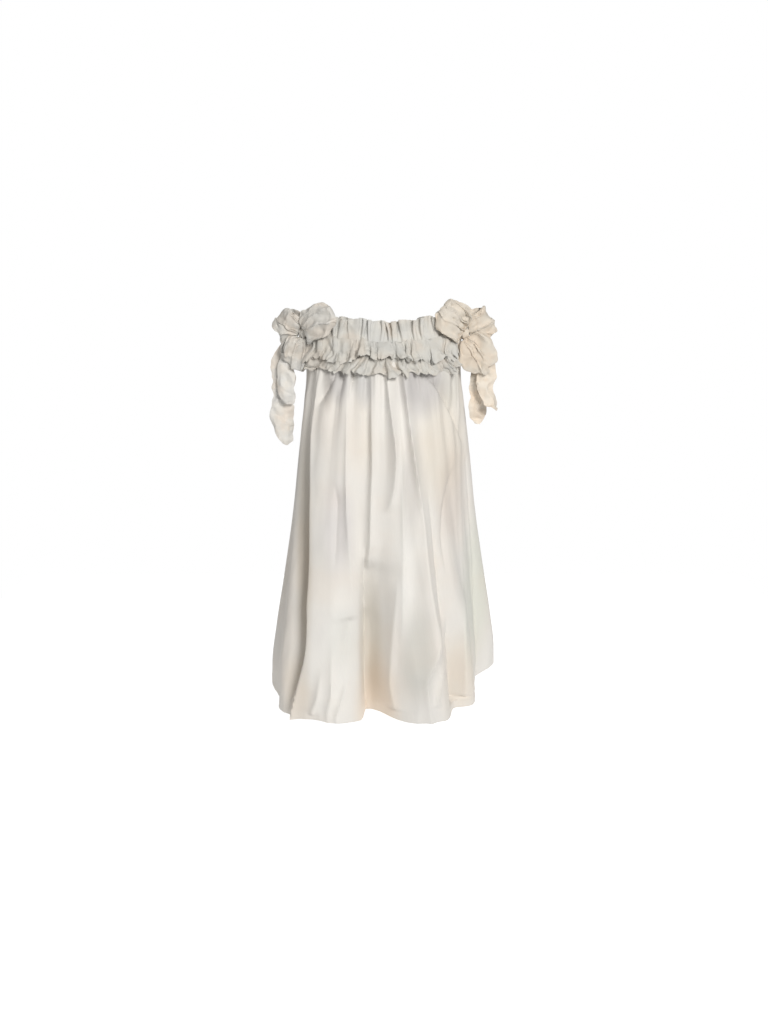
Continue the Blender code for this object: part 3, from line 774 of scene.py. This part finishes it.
def wander(place, name, seed):
    """Places along a row of folds, moved so that the folds differ in width."""
    moved = place
    for reach, rate, times in WANDERS[name]:
        moved = moved + reach * np.sin(rate * place + times * seed)
    return moved


def flattened(wave, power):
    """A wave with flatter crests and steeper sides."""
    return np.sign(wave) * np.abs(wave) ** power


def bell(distance, spread):
    """A soft bump, 1 in its middle."""
    return np.exp(-(distance**2) / spread)


class Panel:
    """One half of the dress. A column is named by its share of the half width, from -1 to 1."""

    def __init__(self, name, row):
        self.name = name
        self.facing, self.top_middle, self.hem_middle = row[:3]
        self.gathers, self.pleats, self.scallops, self.seed = row[3:]

    def top(self, share):
        rise = CORNER_HEIGHT - self.top_middle
        return self.top_middle + rise * np.abs(share) ** TOP_EDGE_POWER

    def hem(self, share):
        return self.hem_middle + (SIDE_HEM - self.hem_middle) * np.abs(share) ** HEM_POWER

    def turn(self, share, height):
        opening = np.maximum(SEAM / 2, read(ARMHOLE, 1, height))
        angle = share * (math.pi / 2 - np.arctan(opening / read(FORM, 1, height)))
        return angle if self.facing > 0 else math.pi - angle

    def normal(self, share, height):
        return form_normal(self.turn(share, height), height)

    def smooth(self, share, height):
        return form_point(self.turn(share, height), height)

    def gather_reach(self, share, height):
        """The small gathers below the casing, with finer ones between them."""
        drop = np.maximum(self.top(share) - height, 0.0)
        grow = ease(drop / GATHER_FULL_AT) * (1 - ease((drop - GATHER_FULL_AT) / GATHER_GONE_AT))
        count = self.gathers * (share + 1) / 2
        change = np.sin(GATHER_CHANGE * np.floor(count + GATHER_BREAK) + GATHER_START)
        size = GATHER_SIZE + GATHER_VARIES * change
        side = 1 - np.abs(share) ** GATHER_END_POWER
        reach = -GATHER_DEPTH * grow * size * side * cosine(count)
        table = fold_table(3 * self.gathers, self.seed)
        sway = FINE_WANDER * np.sin(FINE_WANDER_RATE * share + self.seed)
        fine = FINE_GATHERS * count + sway
        length = FINE_LENGTH + LENGTH_VARIES * by_fold(table, 0, fine)
        depth = FINE_DEPTH + DEPTH_VARIES * by_fold(table, 1, fine)
        fade = ease(drop / FINE_FULL_AT) * np.exp(-((drop / length) ** FINE_POWER))
        return reach + depth * fade * side * cosine(fine)

    def cloth(self, share, height):
        """The middle of the panel's cloth, with its large folds and gathers."""
        turn = self.turn(share, height)
        reach = flute_reach(turn, height) + self.gather_reach(share, height)
        return self.smooth(share, height) + self.normal(share, height) * reach[..., None]


def crease_reach(rows, x, height, facing):
    """One crease. Facing is the share of the cloth's direction that looks to the front or back."""
    low, high = min(row[0] for row in rows), max(row[0] for row in rows)
    path, depth, left, right = (read(rows, k, height) for k in (1, 2, 3, 4))
    away = (x - path) / np.maximum(facing, FACING_LEAST)
    width = np.where(away < 0, left, right)
    near = np.sqrt(away**2 + CREST_ROUND**2) - CREST_ROUND
    inside = (height <= high) & (height >= low)
    return CREASE_SCALE * np.where(inside, depth, 0.0) * np.exp(-near / width)


def lengths_along(grid, axis):
    """How far over the cloth each point of a grid lies from the first in its row or column."""
    steps = np.linalg.norm(np.diff(grid, axis=axis), axis=-1)
    start = 0 * np.take(steps, [0], axis=axis)
    return np.concatenate([start, np.cumsum(steps, axis=axis)], axis=axis)


def shell(name, grid, thickness, around=False):
    """A closed thin shell of cloth from a grid of points on its middle, in millimetres."""
    rows, columns = grid.shape[:2]
    down = np.gradient(grid, axis=0)
    if around:
        along = (np.roll(grid, -1, axis=1) - np.roll(grid, 1, axis=1)) / 2
    else:
        along = np.gradient(grid, axis=1)
    normal = unit(np.cross(along, down))
    outer = grid + normal * thickness / 2
    inner = grid - normal * thickness / 2
    verts = np.concatenate([outer.reshape(-1, 3), inner.reshape(-1, 3)]) * MM
    index = np.arange(rows * columns).reshape(rows, columns)
    if around:
        index = np.concatenate([index, index[:, :1]], axis=1)
    other = index + rows * columns
    front = [index[:-1, :-1], index[:-1, 1:], index[1:, 1:], index[1:, :-1]]
    back = [other[:-1, :-1], other[1:, :-1], other[1:, 1:], other[:-1, 1:]]
    faces = [np.stack(front, -1).reshape(-1, 4), np.stack(back, -1).reshape(-1, 4)]
    edges = [(index[0], other[0]), (other[-1], index[-1])]
    if not around:
        edges += [(other[:, 0], index[:, 0]), (index[:, -1], other[:, -1])]
    for a, b in edges:
        faces.append(np.stack([a[:-1], b[:-1], b[1:], a[1:]], -1))
    faces = np.concatenate(faces)
    mesh = bpy.data.meshes.new(name)
    mesh.from_pydata(verts.tolist(), [], faces.tolist())

    # The weave follows the lengths along the cloth
    run, fall = lengths_along(grid, 1), lengths_along(grid, 0)
    run = run - run[:, columns // 2 : columns // 2 + 1]
    flat = np.stack([run, fall], -1).reshape(-1, 2) * MM
    flat = np.concatenate([flat, flat])
    layer = mesh.uv_layers.new(name="cloth")
    loops = np.empty(len(mesh.loops), dtype=np.int32)
    mesh.loops.foreach_get("vertex_index", loops)
    layer.data.foreach_set("uv", flat[loops].ravel())
    mesh.shade_smooth()
    mesh.set_sharp_from_angle(angle=math.radians(SHARP_ANGLE))
    obj = bpy.data.objects.new(name, mesh)
    bpy.context.scene.collection.objects.link(obj)
    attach(obj, "root")
    return obj


def make_panel(panel):
    """The gathered panel with its creases, hem fold and small puckers."""
    share, down = mesh_shares("panel", 1)
    down = down ** PANEL_ROW_POWER
    top, hem = panel.top(share), panel.hem(share)
    height = top - (top - hem) * down
    share = share + 0 * height
    out = panel.normal(share, height)
    base = panel.cloth(share, height)
    reach = np.zeros_like(height)
    for rows in CREASES[panel.name]:
        reach += crease_reach(rows, base[..., 0], height, np.abs(out[..., 1]))
    low = ease((LOW_FROM - height) / LOW_OVER)
    reach += surface("panel", base, panel.seed) + low * surface("low_panel", base, panel.seed)
    reach *= ease((1 - np.abs(share)) / SIDE_FADE)
    above = height - hem
    pucker = np.sin(PUCKER_RATE * share + PUCKER_SWAY * np.sin(PUCKER_SWAY_RATE * share))
    reach += PUCKER * pucker * bell(above - HEM_STITCH, PUCKER_SPREAD**2)
    reach += HEM_TURN * ease((HEM_TURN_TOP - above) / HEM_TURN_OVER)
    grid = base + out * reach[..., None]
    if panel.name == "front":
        lift = read(HEM_LIFTS, 1, grid[..., 0])
        grid[..., 2] += lift * ease((HEM_LIFT_FROM - height) / HEM_LIFT_OVER)
    return shell(f"{panel.name}_panel_cloth", grid, THIN)


def make_casing(panel):
    """The band that the tie runs through, in fine gathers between its two stitched edges."""
    share, up = mesh_shares("casing", 1)
    height = panel.top(share) + SEAM + CASING_HEIGHT * up
    share = share + 0 * height
    pleat = panel.pleats * (share / HEADER_END + 1) / 2
    count = SHIRRS_PER_PLEAT * pleat
    table = fold_table(panel.pleats * 4, panel.seed + SEEDS_ADDED["casing"])
    shirr = cosine(count + SHIRR_WANDER * by_fold(table, 0, pleat + 2))
    reach = SHIRR * shirr * (SHIRR_SIZE + SHIRR_VARIES * by_fold(table, 1, count))
    for stitch in STITCHES:
        reach -= STITCH_DEPTH * bell(up - stitch, STITCH_SPREAD)
    grid = panel.smooth(share, height) + panel.normal(share, height) * reach[..., None]
    return shell(f"{panel.name}_casing_cloth", grid, CASING_THIN)


def make_header(panel):
    """The upright frill above the casing, in uneven pleats."""
    share, up = mesh_shares("header", HEADER_END)
    low = ease((np.abs(share) - HEADER_FULL_TO) / (HEADER_END - HEADER_FULL_TO))
    tall = HEADER_HEIGHT + (HEADER_END_HEIGHT - HEADER_HEIGHT) * low
    full = up * tall / HEADER_HEIGHT
    seed = panel.seed + SEEDS_ADDED["header"]
    table = fold_table(panel.pleats + 2, seed)
    warp = wander(panel.pleats * (share / HEADER_END + 1) / 2, "header", seed)
    foot = panel.top(share) + SEAM + CASING_HEIGHT + HEADER_SEAM
    trim = HEADER_TRIM * by_fold(table, 2, warp)
    height = foot + (HEADER_STRETCH * tall + trim * up) * up

    # Pleats that deepen upwards, slide sideways and lap over each other
    size = 1 + HEADER_VARIES * by_fold(table, 0, warp)
    growth = HEADER_FOOT + (1 - HEADER_FOOT) * full**HEADER_GROWTH
    wave = flattened(cosine(warp), HEADER_POWER)
    stand = HEADER_DEPTH * size * wave * growth
    lean = HEADER_LEAN * up * full
    fold = 2 * HEADER_END * HALF_ROUND / panel.pleats
    lap = HEADER_LAP / TURN * np.sin(2 * TURN * warp)
    shift = fold * (lap + HEADER_SLIDE * by_fold(table, 1, warp)) * full
    moved = share + shift / HALF_ROUND
    point = panel.smooth(moved, height)
    reach = lean + stand + surface("header", point, seed) * full
    grid = point + panel.normal(moved, height) * reach[..., None]
    return shell(f"{panel.name}_header_cloth", stir(grid, "header", full), THIN)


def make_frill(panel, kind):
    """A frill in deep uneven scallops, crushed here and there."""
    foot_middle, foot_end, clear, wave, end_share = FRILLS[kind]
    upper = kind == "upper"
    seed = panel.seed + SEEDS_ADDED[kind]
    share, down = mesh_shares("frill", end_share)
    side = (np.abs(share) / end_share) ** TOP_EDGE_POWER
    end = (np.abs(share) / end_share) ** FRILL_END_POWER
    count = panel.scallops
    warp = wander(count * (share / end_share + 1) / 2, "frill", seed) + 1.0
    table = fold_table(count + 3, seed)
    change, swing, drop = (by_fold(table, k, warp) for k in range(3))

    # The length from root to foot, with jags and nicks along the foot
    foot = panel.top(share) + foot_middle + (foot_end - foot_middle) * side + FRILL_END_RISE * end
    root = panel.top(share) + (UPPER_ROOT if upper else -LOWER_ROOT_DROP)
    if upper:
        root = root + ROOT_VARIES * change + RIPPLE * np.sin(RIPPLE_RATE * warp)
    jag = JAG * np.abs(np.sin(JAG_RATE * math.pi * warp + JAG_SWING * swing))
    jag = jag + NICK * np.sin(NICK_RATE * warp)
    straight = (root - foot) * (1.0 + FRILL_DROP * drop + jag * down**2) * down

    # Scallops that deepen downwards, with finer pleats near the root
    full = 1 - FRILL_END_FADE * end
    size = 1 + FRILL_VARIES * change
    crest = (1 + flattened(cosine(warp), FRILL_POWER)) / 2
    stand = wave * full * size * down**STAND_GROWTH * crest
    fine = FINE_PLEAT * np.cos(3 * TURN * warp + FINE_SWING * swing)
    fine = fine * bell(down - FINE_AT, FINE_SPREAD)
    fold = 2 * end_share * HALF_ROUND / count
    lap = (FRILL_LAP + LAP_SWING * swing) / TURN * np.sin(2 * TURN * warp)
    shift = fold * (lap * down**LAP_GROWTH + FRILL_SLIDE * swing * down)
    moved = np.clip(share + shift * full / HALF_ROUND, -FRILL_EDGE, FRILL_EDGE)

    # What stands out takes up length
    least = (LEAST_LEVEL * straight) ** 2
    level = np.sqrt(np.maximum(straight**2 - (TAKEN_UP * stand) ** 2, least))
    height = root - level
    body = panel.cloth(moved, height)
    if upper:
        above = (height > panel.top(moved))[..., None]
        body = np.where(above, panel.smooth(moved, height), body)
    under = (CASING_CLOTH if upper else CLOTH) / 2 + SEAM
    lie = FRILL_LIE * np.minimum(1, LIE_AT_ROOT + LIE_GROWTH * down)
    rough = surface("frill", body, seed) * down**ROUGH_GROWTH
    curl = CURL * swing * ease((down - CURL_FROM) / CURL_OVER)
    bend = np.maximum(rough + curl, -DENT_SHARE * clear * down - DENT)
    reach = under + lie + clear * down + stand + fine + bend
    grid = body + panel.normal(moved, height) * reach[..., None]
    grid = stir(grid, "frill", down + 0 * share)
    return shell(f"{panel.name}_{kind}_frill_cloth", grid, THIN)


def ribbon_grid(centres, across, half_widths, cups, steps):
    """Points of a strip of ribbon, and the direction out of its face at each station."""
    run = unit(np.gradient(centres, axis=0))
    wide = unit(across - run * np.sum(across * run, axis=-1, keepdims=True))
    face = unit(np.cross(run, wide))
    k = steps[None, :, None]
    grid = centres[:, None] + wide[:, None] * half_widths[:, None, None] * k
    grid = grid - face[:, None] * cups[:, None, None] * k * k
    return grid, face


def knot_centre(side, panel):
    """The middle of a knot, just off the end of the casing."""
    share = side * KNOT_PLACE
    height = float(panel.top(share)) + SEAM + CASING_HEIGHT / 2
    stand = CASING_CLOTH / 2 + SEAM + KNOT_RADIUS
    return panel.smooth(share, height) + panel.normal(share, height) * stand


def make_knot(side_name, centre, seed):
    """The knot, a band of the tie wound round itself, in soft folds."""
    rows, columns = MESHES["knot"]
    tilt = np.linspace(KNOT_POLE, math.pi - KNOT_POLE, rows)[:, None]
    spin = np.linspace(0, TURN, columns, endpoint=False)[None, :]
    folds = 1 + KNOT_FOLD * np.sin(KNOT_FOLDS * spin + KNOT_TWIST * np.sin(tilt) + seed)
    folds = folds + KNOT_FINE_FOLD * np.sin(KNOT_FINE_COUNT * spin - KNOT_FINE_TWIST * tilt)
    groove = tilt - math.pi / 2 - GROOVE_SWAY * np.sin(spin)
    reach = KNOT_RADIUS * (folds - GROOVE * bell(groove, GROOVE_SPREAD))
    x = reach * np.sin(tilt) * np.cos(spin)
    y = reach * np.sin(tilt) * np.sin(spin)
    z = reach * KNOT_TALL * np.cos(tilt)
    grid = centre + np.stack([x, y, z], -1)
    return shell(f"{side_name}_knot_cloth", grid, RIBBON_THIN, around=True)


def make_loop(name, side, centre):
    """A bow loop, puffed and pleated from the knot, and crushed in places."""
    facing, lean, length, width, puff, layer, pleats, seed = LOOPS[name]
    facing, lean = math.radians(facing), math.radians(lean)
    face = np.array((side * math.sin(facing), -math.cos(facing), 0.0))
    out = np.array((side * math.cos(facing), math.sin(facing), 0.0))
    up = np.array((0.0, 0.0, 1.0))
    along = up * math.cos(lean) + out * math.sin(lean)
    wide = out * math.cos(lean) - up * math.sin(lean)
    root = centre + along * ROOT_REACH + face * layer

    # From the knot out along the front, and back to it behind
    k, s = mesh_shares("loop", 1)
    in_front = s < 0.5
    half_turn = np.sin(math.pi * s)
    far = half_turn**2
    spread = half_turn**0.5

    # Places in the row of pleats
    table = fold_table(math.ceil(pleats) + SPARE_FOLDS, seed)
    drift = DRIFT * np.sin(DRIFT_RATE * k + seed)
    far_turn = FAR_DRIFT_RATE * k + FAR_DRIFT_TURN * far + seed
    drift = drift + FAR_DRIFT * np.sin(far_turn)
    place = pleats * (k + 1) / 2 + FIRST_FOLD + drift
    fold = place - np.floor(place)

    # The puffed form
    swell = np.maximum(np.sin(TURN * s), 0) ** SWELL_POWER
    swell = swell * half_turn**SWELL_ROOT_POWER
    edge = 1 - EDGE_FLAT * np.abs(k) ** EDGE_POWER
    depth = puff * swell * edge + LOOP_PART * np.cos(math.pi * s)
    open_width = (width - LOOP_ROOT_WIDTH) * spread * (1 - LOOP_NARROWS * far**2)
    half = (LOOP_ROOT_WIDTH + open_width) / 2
    tip = TIP_VARIES * by_fold(table, 1, place + 0.5)
    tip = tip + TIP_WAVE * np.sin(TIP_RATE * k + seed)
    reach = length * far * (1 + tip - LOOP_ROUND * np.abs(k) ** ROUND_POWER)

    # Pleats, and the gathers where they leave the knot
    size = 1 + LOOP_VARIES * by_fold(table, 0, place + 0.5)
    crest = 1 - np.abs(2 * fold - 1) ** CREST_POWER
    fade = 1 - PLEAT_FADE * far**2
    pleat = LOOP_PLEAT * size * crest * spread**PLEAT_GROWTH * fade
    gather = LOOP_GATHERS * k + SWAY * np.sin(SWAY_RATE * k + seed)
    gather = LOOP_GATHER * cosine(gather)
    pleat = pleat + gather * spread * (1 - far) ** GATHER_FADE
    lap = width / pleats * LOOP_LAP * np.sin(TURN * fold) * spread
    lap = lap * (1 - LAP_FADE * far)
    lap = lap * np.where(by_fold(table, 2, place) > 0, 1.0, LAP_LEAST)

    across = half * k + np.where(in_front, lap, 0)
    depth = depth + pleat * np.where(in_front, 1, LOOP_BACK)
    grid = root + along * reach[..., None] + wide * across[..., None] + face * depth[..., None]
    rough = surface("loop", grid, seed) + LOOP_PROUD
    rough = rough + (LOOP_FINE - LOOP_FINE_LESS * far) * surface("fine_loop", grid, seed)
    rough = rough * spread**LOOP_GROWTH * np.where(in_front, 1, LOOP_BACK)
    grid = grid + face * rough[..., None]
    grid = stir(grid, "loop", spread * (1 - STIR_FADE * far**2) + 0 * k)
    return shell(f"{name}_cloth", grid, RIBBON_THIN)


def make_tail(name, side):
    """A hanging tie end, turned, cupped and crushed."""
    rows, seed = TAILS[name], TAIL_SEEDS[name]
    table = [(i / (len(rows) - 1), *row) for i, row in enumerate(rows)]
    steps, s = (share.ravel() for share in mesh_shares("tail", 1))
    out, y, height, half_width, roll, cup = (read(table, k, s) for k in range(1, 7))
    centres = np.stack([side * out, y, height], -1)
    roll = np.radians(roll)
    across = np.stack([np.cos(roll), np.sin(roll), 0 * roll], -1)
    grid, normal = ribbon_grid(centres, across, half_width, cup, steps)
    grow = ease(s / TAIL_FULL_AT)[:, None]
    fade = 1 - ease((s - PLEAT_TO) / PLEAT_OVER)[:, None]
    pleat = TAIL_PLEAT * np.cos(TAIL_RATE * steps + seed)[None, :] * fade
    reach = (surface("tail", grid, seed) + pleat) * grow
    grid = grid + normal[:, None] * reach[..., None]
    grid = stir(grid, "tail", grow + 0 * steps[None, :])
    return shell(f"{name}_cloth", grid, RIBBON_THIN)


def make_strap(side_name, side, knot, back):
    """The strap over the shoulder, from the back casing to the knot."""
    middle = float(back.top(side)) + SEAM + CASING_HEIGHT / 2
    start = back.smooth(float(side), middle) - np.array((0, STRAP_GAP, 0))
    finish = knot + np.array(STRAP_TO_KNOT) * (KNOT_RADIUS * KNOT_TALL + SEAM)
    steps, s = (share.ravel() for share in mesh_shares("strap", 1))
    centres = start + (finish - start) * s[:, None]
    centres[:, 2] += STRAP_RISE * np.sin(math.pi * s**STRAP_CREST) ** 2
    lean = math.pi / 2 * (1 - ease(s / STRAP_FLAT_BY))
    across = np.stack([np.cos(lean), 0 * lean, np.sin(lean)], -1)
    half_widths = np.full(len(s), STRAP_HALF_WIDTH)
    grid, normal = ribbon_grid(centres, across, half_widths, 0 * s, steps)
    pleat = STRAP_PLEAT * cosine(STRAP_PLEATS * steps)[None, :]
    pleat = pleat + surface("strap", grid, STRAP_SEED + side)
    grid = grid + normal[:, None] * pleat[..., None]
    return shell(f"{side_name}_strap_cloth", grid, RIBBON_THIN)


def new_node(tree, kind, inputs=(), **settings):
    """A shader node with its settings. An input is a value or another node's output."""
    node = tree.nodes.new(f"ShaderNode{kind}")
    for key, value in settings.items():
        setattr(node, key, value)
    for key, value in inputs:
        if hasattr(value, "links"):
            tree.links.new(value, node.inputs[key])
        else:
            node.inputs[key].default_value = value
    return node


def with_painted_light_and_shade(tree, place, colour, painted_spot):
    """Multiplies a colour by a soft round spot of painted light, painted shade or a tint, all the
    way through the cloth.
    """
    _, x, height, half_width, half_height, tone = painted_spot
    centre = (x * MM, 0.0, height * MM)
    share = (1 / (half_width * MM), 0.0, 1 / (half_height * MM))
    away = new_node(tree, "VectorMath", ((0, place), (1, centre)), operation="SUBTRACT")
    scaled = new_node(tree, "VectorMath", ((0, away.outputs[0]), (1, share)), operation="MULTIPLY")
    ball = new_node(
        tree, "TexGradient", (("Vector", scaled.outputs[0]),), gradient_type="SPHERICAL"
    )
    fade = new_node(
        tree, "MapRange", (("Value", ball.outputs["Fac"]), ("From Max", PAINTED_SPOT_FULL_AT)),
        interpolation_type="SMOOTHSTEP",
    )
    mix = new_node(
        tree, "Mix", ((0, fade.outputs["Result"]), (6, colour), (7, (*tone, 1.0))),
        data_type="RGBA", blend_type="MULTIPLY",
    )
    return mix.outputs[2]


def tone_of(name):
    """The row of PIECE_TONES_LIT_AND_SHADED that fits a piece's name best."""
    keys = [key for key in PIECE_TONES_LIT_AND_SHADED if key in name]
    return PIECE_TONES_LIT_AND_SHADED[max(keys, key=lambda key: (key not in ("left", "right"), len(key)))]


def make_cotton(name):
    """Ivory cotton: soft tones with painted shade and light, slubs, a plain weave and a dull sheen.
    """
    base, patch_size, patch_share = tone_of(name)
    grey, peach = (
        (*(b * t / i for b, t, i in zip(base, patch, IVORY)), 1.0) for patch in (GREY, PEACH)
    )
    base = (*base, 1.0)
    material = bpy.data.materials.new(name)
    material.use_nodes = True
    tree = material.node_tree
    shader = tree.nodes["Principled BSDF"]
    where = new_node(tree, "TexCoord")
    uv, place = where.outputs["UV"], where.outputs["Object"]

    # Soft patches of the cloth's tone, at random, and on the front panel soft spots of painted
    # light and shade
    clouds = new_node(
        tree, "TexNoise", (("Vector", place), ("Scale", patch_size), ("Detail", PATCH_DETAIL))
    )
    ramp = new_node(tree, "ValToRGB", (("Fac", clouds.outputs["Fac"]),))
    first, last = ramp.color_ramp.elements
    first.position, first.color = GREY_AT, grey
    last.position, last.color = PEACH_AT, peach
    ramp.color_ramp.elements.new((GREY_AT + PEACH_AT) / 2).color = base
    soft = new_node(
        tree, "Mix", ((0, patch_share), (6, base), (7, ramp.outputs["Color"])), data_type="RGBA"
    )
    colour = soft.outputs[2]
    if name.startswith("front_panel"):
        for painted_spot in PAINTED_LIGHT_AND_SHADE:
            colour = with_painted_light_and_shade(tree, place, colour, painted_spot)

    # Slubs that run along the threads, a little lighter and darker
    stretch = new_node(tree, "Mapping", (("Vector", uv), ("Scale", SLUB_SCALE)))
    slubs = new_node(
        tree, "TexNoise",
        (("Vector", stretch.outputs["Vector"]), ("Scale", 1.0), ("Detail", SLUB_DETAIL)),
    )
    darkest, lightest = SLUB_SHADES
    shade = new_node(
        tree, "MapRange",
        (("Value", slubs.outputs["Fac"]), ("To Min", darkest), ("To Max", lightest)),
    )
    tone = new_node(
        tree, "HueSaturation", (("Color", colour), ("Value", shade.outputs["Result"]))
    )
    smoothest, roughest = ROUGHNESSES
    rough = new_node(
        tree, "MapRange",
        (("Value", clouds.outputs["Fac"]), ("To Min", smoothest), ("To Max", roughest)),
    )

    # The weave
    threads = (("Vector", uv), ("Scale", WEAVE_SCALE))
    warp = new_node(tree, "TexWave", threads, bands_direction="X")
    weft = new_node(tree, "TexWave", threads, bands_direction="Y")
    weave = new_node(
        tree, "Math", ((0, warp.outputs["Fac"]), (1, weft.outputs["Fac"])), operation="MULTIPLY"
    )
    mixed = new_node(
        tree, "Math", ((0, weave.outputs["Value"]), (1, slubs.outputs["Fac"])), operation="ADD"
    )
    bump = new_node(
        tree, "Bump",
        (("Height", mixed.outputs["Value"]), ("Strength", BUMP_STRENGTH), ("Distance", BUMP_DEPTH)),
    )
    tree.links.new(tone.outputs["Color"], shader.inputs["Base Color"])
    tree.links.new(rough.outputs["Result"], shader.inputs["Roughness"])
    tree.links.new(bump.outputs["Normal"], shader.inputs["Normal"])
    shader.inputs["Sheen Weight"].default_value = SHEEN
    shader.inputs["Sheen Roughness"].default_value = SHEEN_ROUGHNESS
    shader.inputs["Specular IOR Level"].default_value = SPECULAR
    return material


def put_in_place(obj, node):
    """Puts a piece in its node's place, with its material."""
    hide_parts(node)
    obj.data.materials.append(make_cotton(f"{node}_cotton"))


def dress_node(obj, node):
    """Puts a piece of cloth in its node's place."""
    put_in_place(obj, node)


def add_light(name, place, target, size, power, colour):
    data = bpy.data.lights.new(name, "AREA")
    data.size = size
    data.energy = power
    data.color = colour
    lamp = bpy.data.objects.new(name, data)
    lamp.location = place
    lamp.rotation_euler = (Vector(target) - Vector(place)).to_track_quat("-Z", "Y").to_euler()
    bpy.context.scene.collection.objects.link(lamp)


panels = {name: Panel(name, row) for name, row in PANELS.items()}
for name, panel in panels.items():
    dress_node(make_panel(panel), f"{name}_panel")
    dress_node(make_casing(panel), f"{name}_casing")
    dress_node(make_header(panel), f"{name}_header")
    for kind in FRILLS:
        dress_node(make_frill(panel, kind), f"{name}_{kind}_frill")

for number, (side_name, side) in enumerate((("left", -1), ("right", 1))):
    centre = knot_centre(side, panels["front"])
    knot = make_knot(side_name, centre, number)
    put_in_place(knot, f"{side_name}_knot")
    dress_node(make_strap(side_name, side, centre, panels["back"]), f"{side_name}_strap")
    for loop in (name for name in LOOPS if name.startswith(side_name)):
        dress_node(make_loop(loop, side, centre), loop)
    for tail in (name for name in TAILS if name.startswith(side_name)):
        dress_node(make_tail(tail, side), tail)

# Floor, light and camera
bpy.ops.mesh.primitive_plane_add(size=FLOOR_SIZE, location=FLOOR_PLACE)
floor = bpy.context.object
floor.name = "floor"
paint = bpy.data.materials.new("pale_floor")
paint.use_nodes = True
for key, value in FLOOR_PAINT.items():
    paint.node_tree.nodes["Principled BSDF"].inputs[key].default_value = value
floor.data.materials.append(paint)

world = bpy.data.worlds.new("studio")
bpy.context.scene.world = world
world.use_nodes = True
sky = world.node_tree
background = sky.nodes["Background"]
background.inputs["Color"].default_value = SKY_TINT
background.inputs["Strength"].default_value = SKY_STRENGTH
bright = new_node(sky, "Background", (("Color", BACKDROP_TINT), ("Strength", BACKDROP_STRENGTH)))
seen = new_node(sky, "LightPath")
either = new_node(
    sky, "MixShader",
    ((0, seen.outputs["Is Camera Ray"]), (1, background.outputs[0]), (2, bright.outputs[0])),
)
sky.links.new(either.outputs[0], sky.nodes["World Output"].inputs[0])

for light in LIGHTS:
    add_light(*light)

bpy.context.scene.view_settings.view_transform = "Standard"
camera_data = bpy.data.cameras.new("camera")
camera_data.lens = CAMERA_LENS
camera_data.sensor_width = CAMERA_SENSOR
camera_data.sensor_fit = "AUTO"
camera = bpy.data.objects.new("camera", camera_data)
camera.location = CAMERA_PLACE
camera.rotation_euler = (math.radians(90 - CAMERA_LOOKS_DOWN), 0, 0)
bpy.context.scene.collection.objects.link(camera)
bpy.context.scene.camera = camera
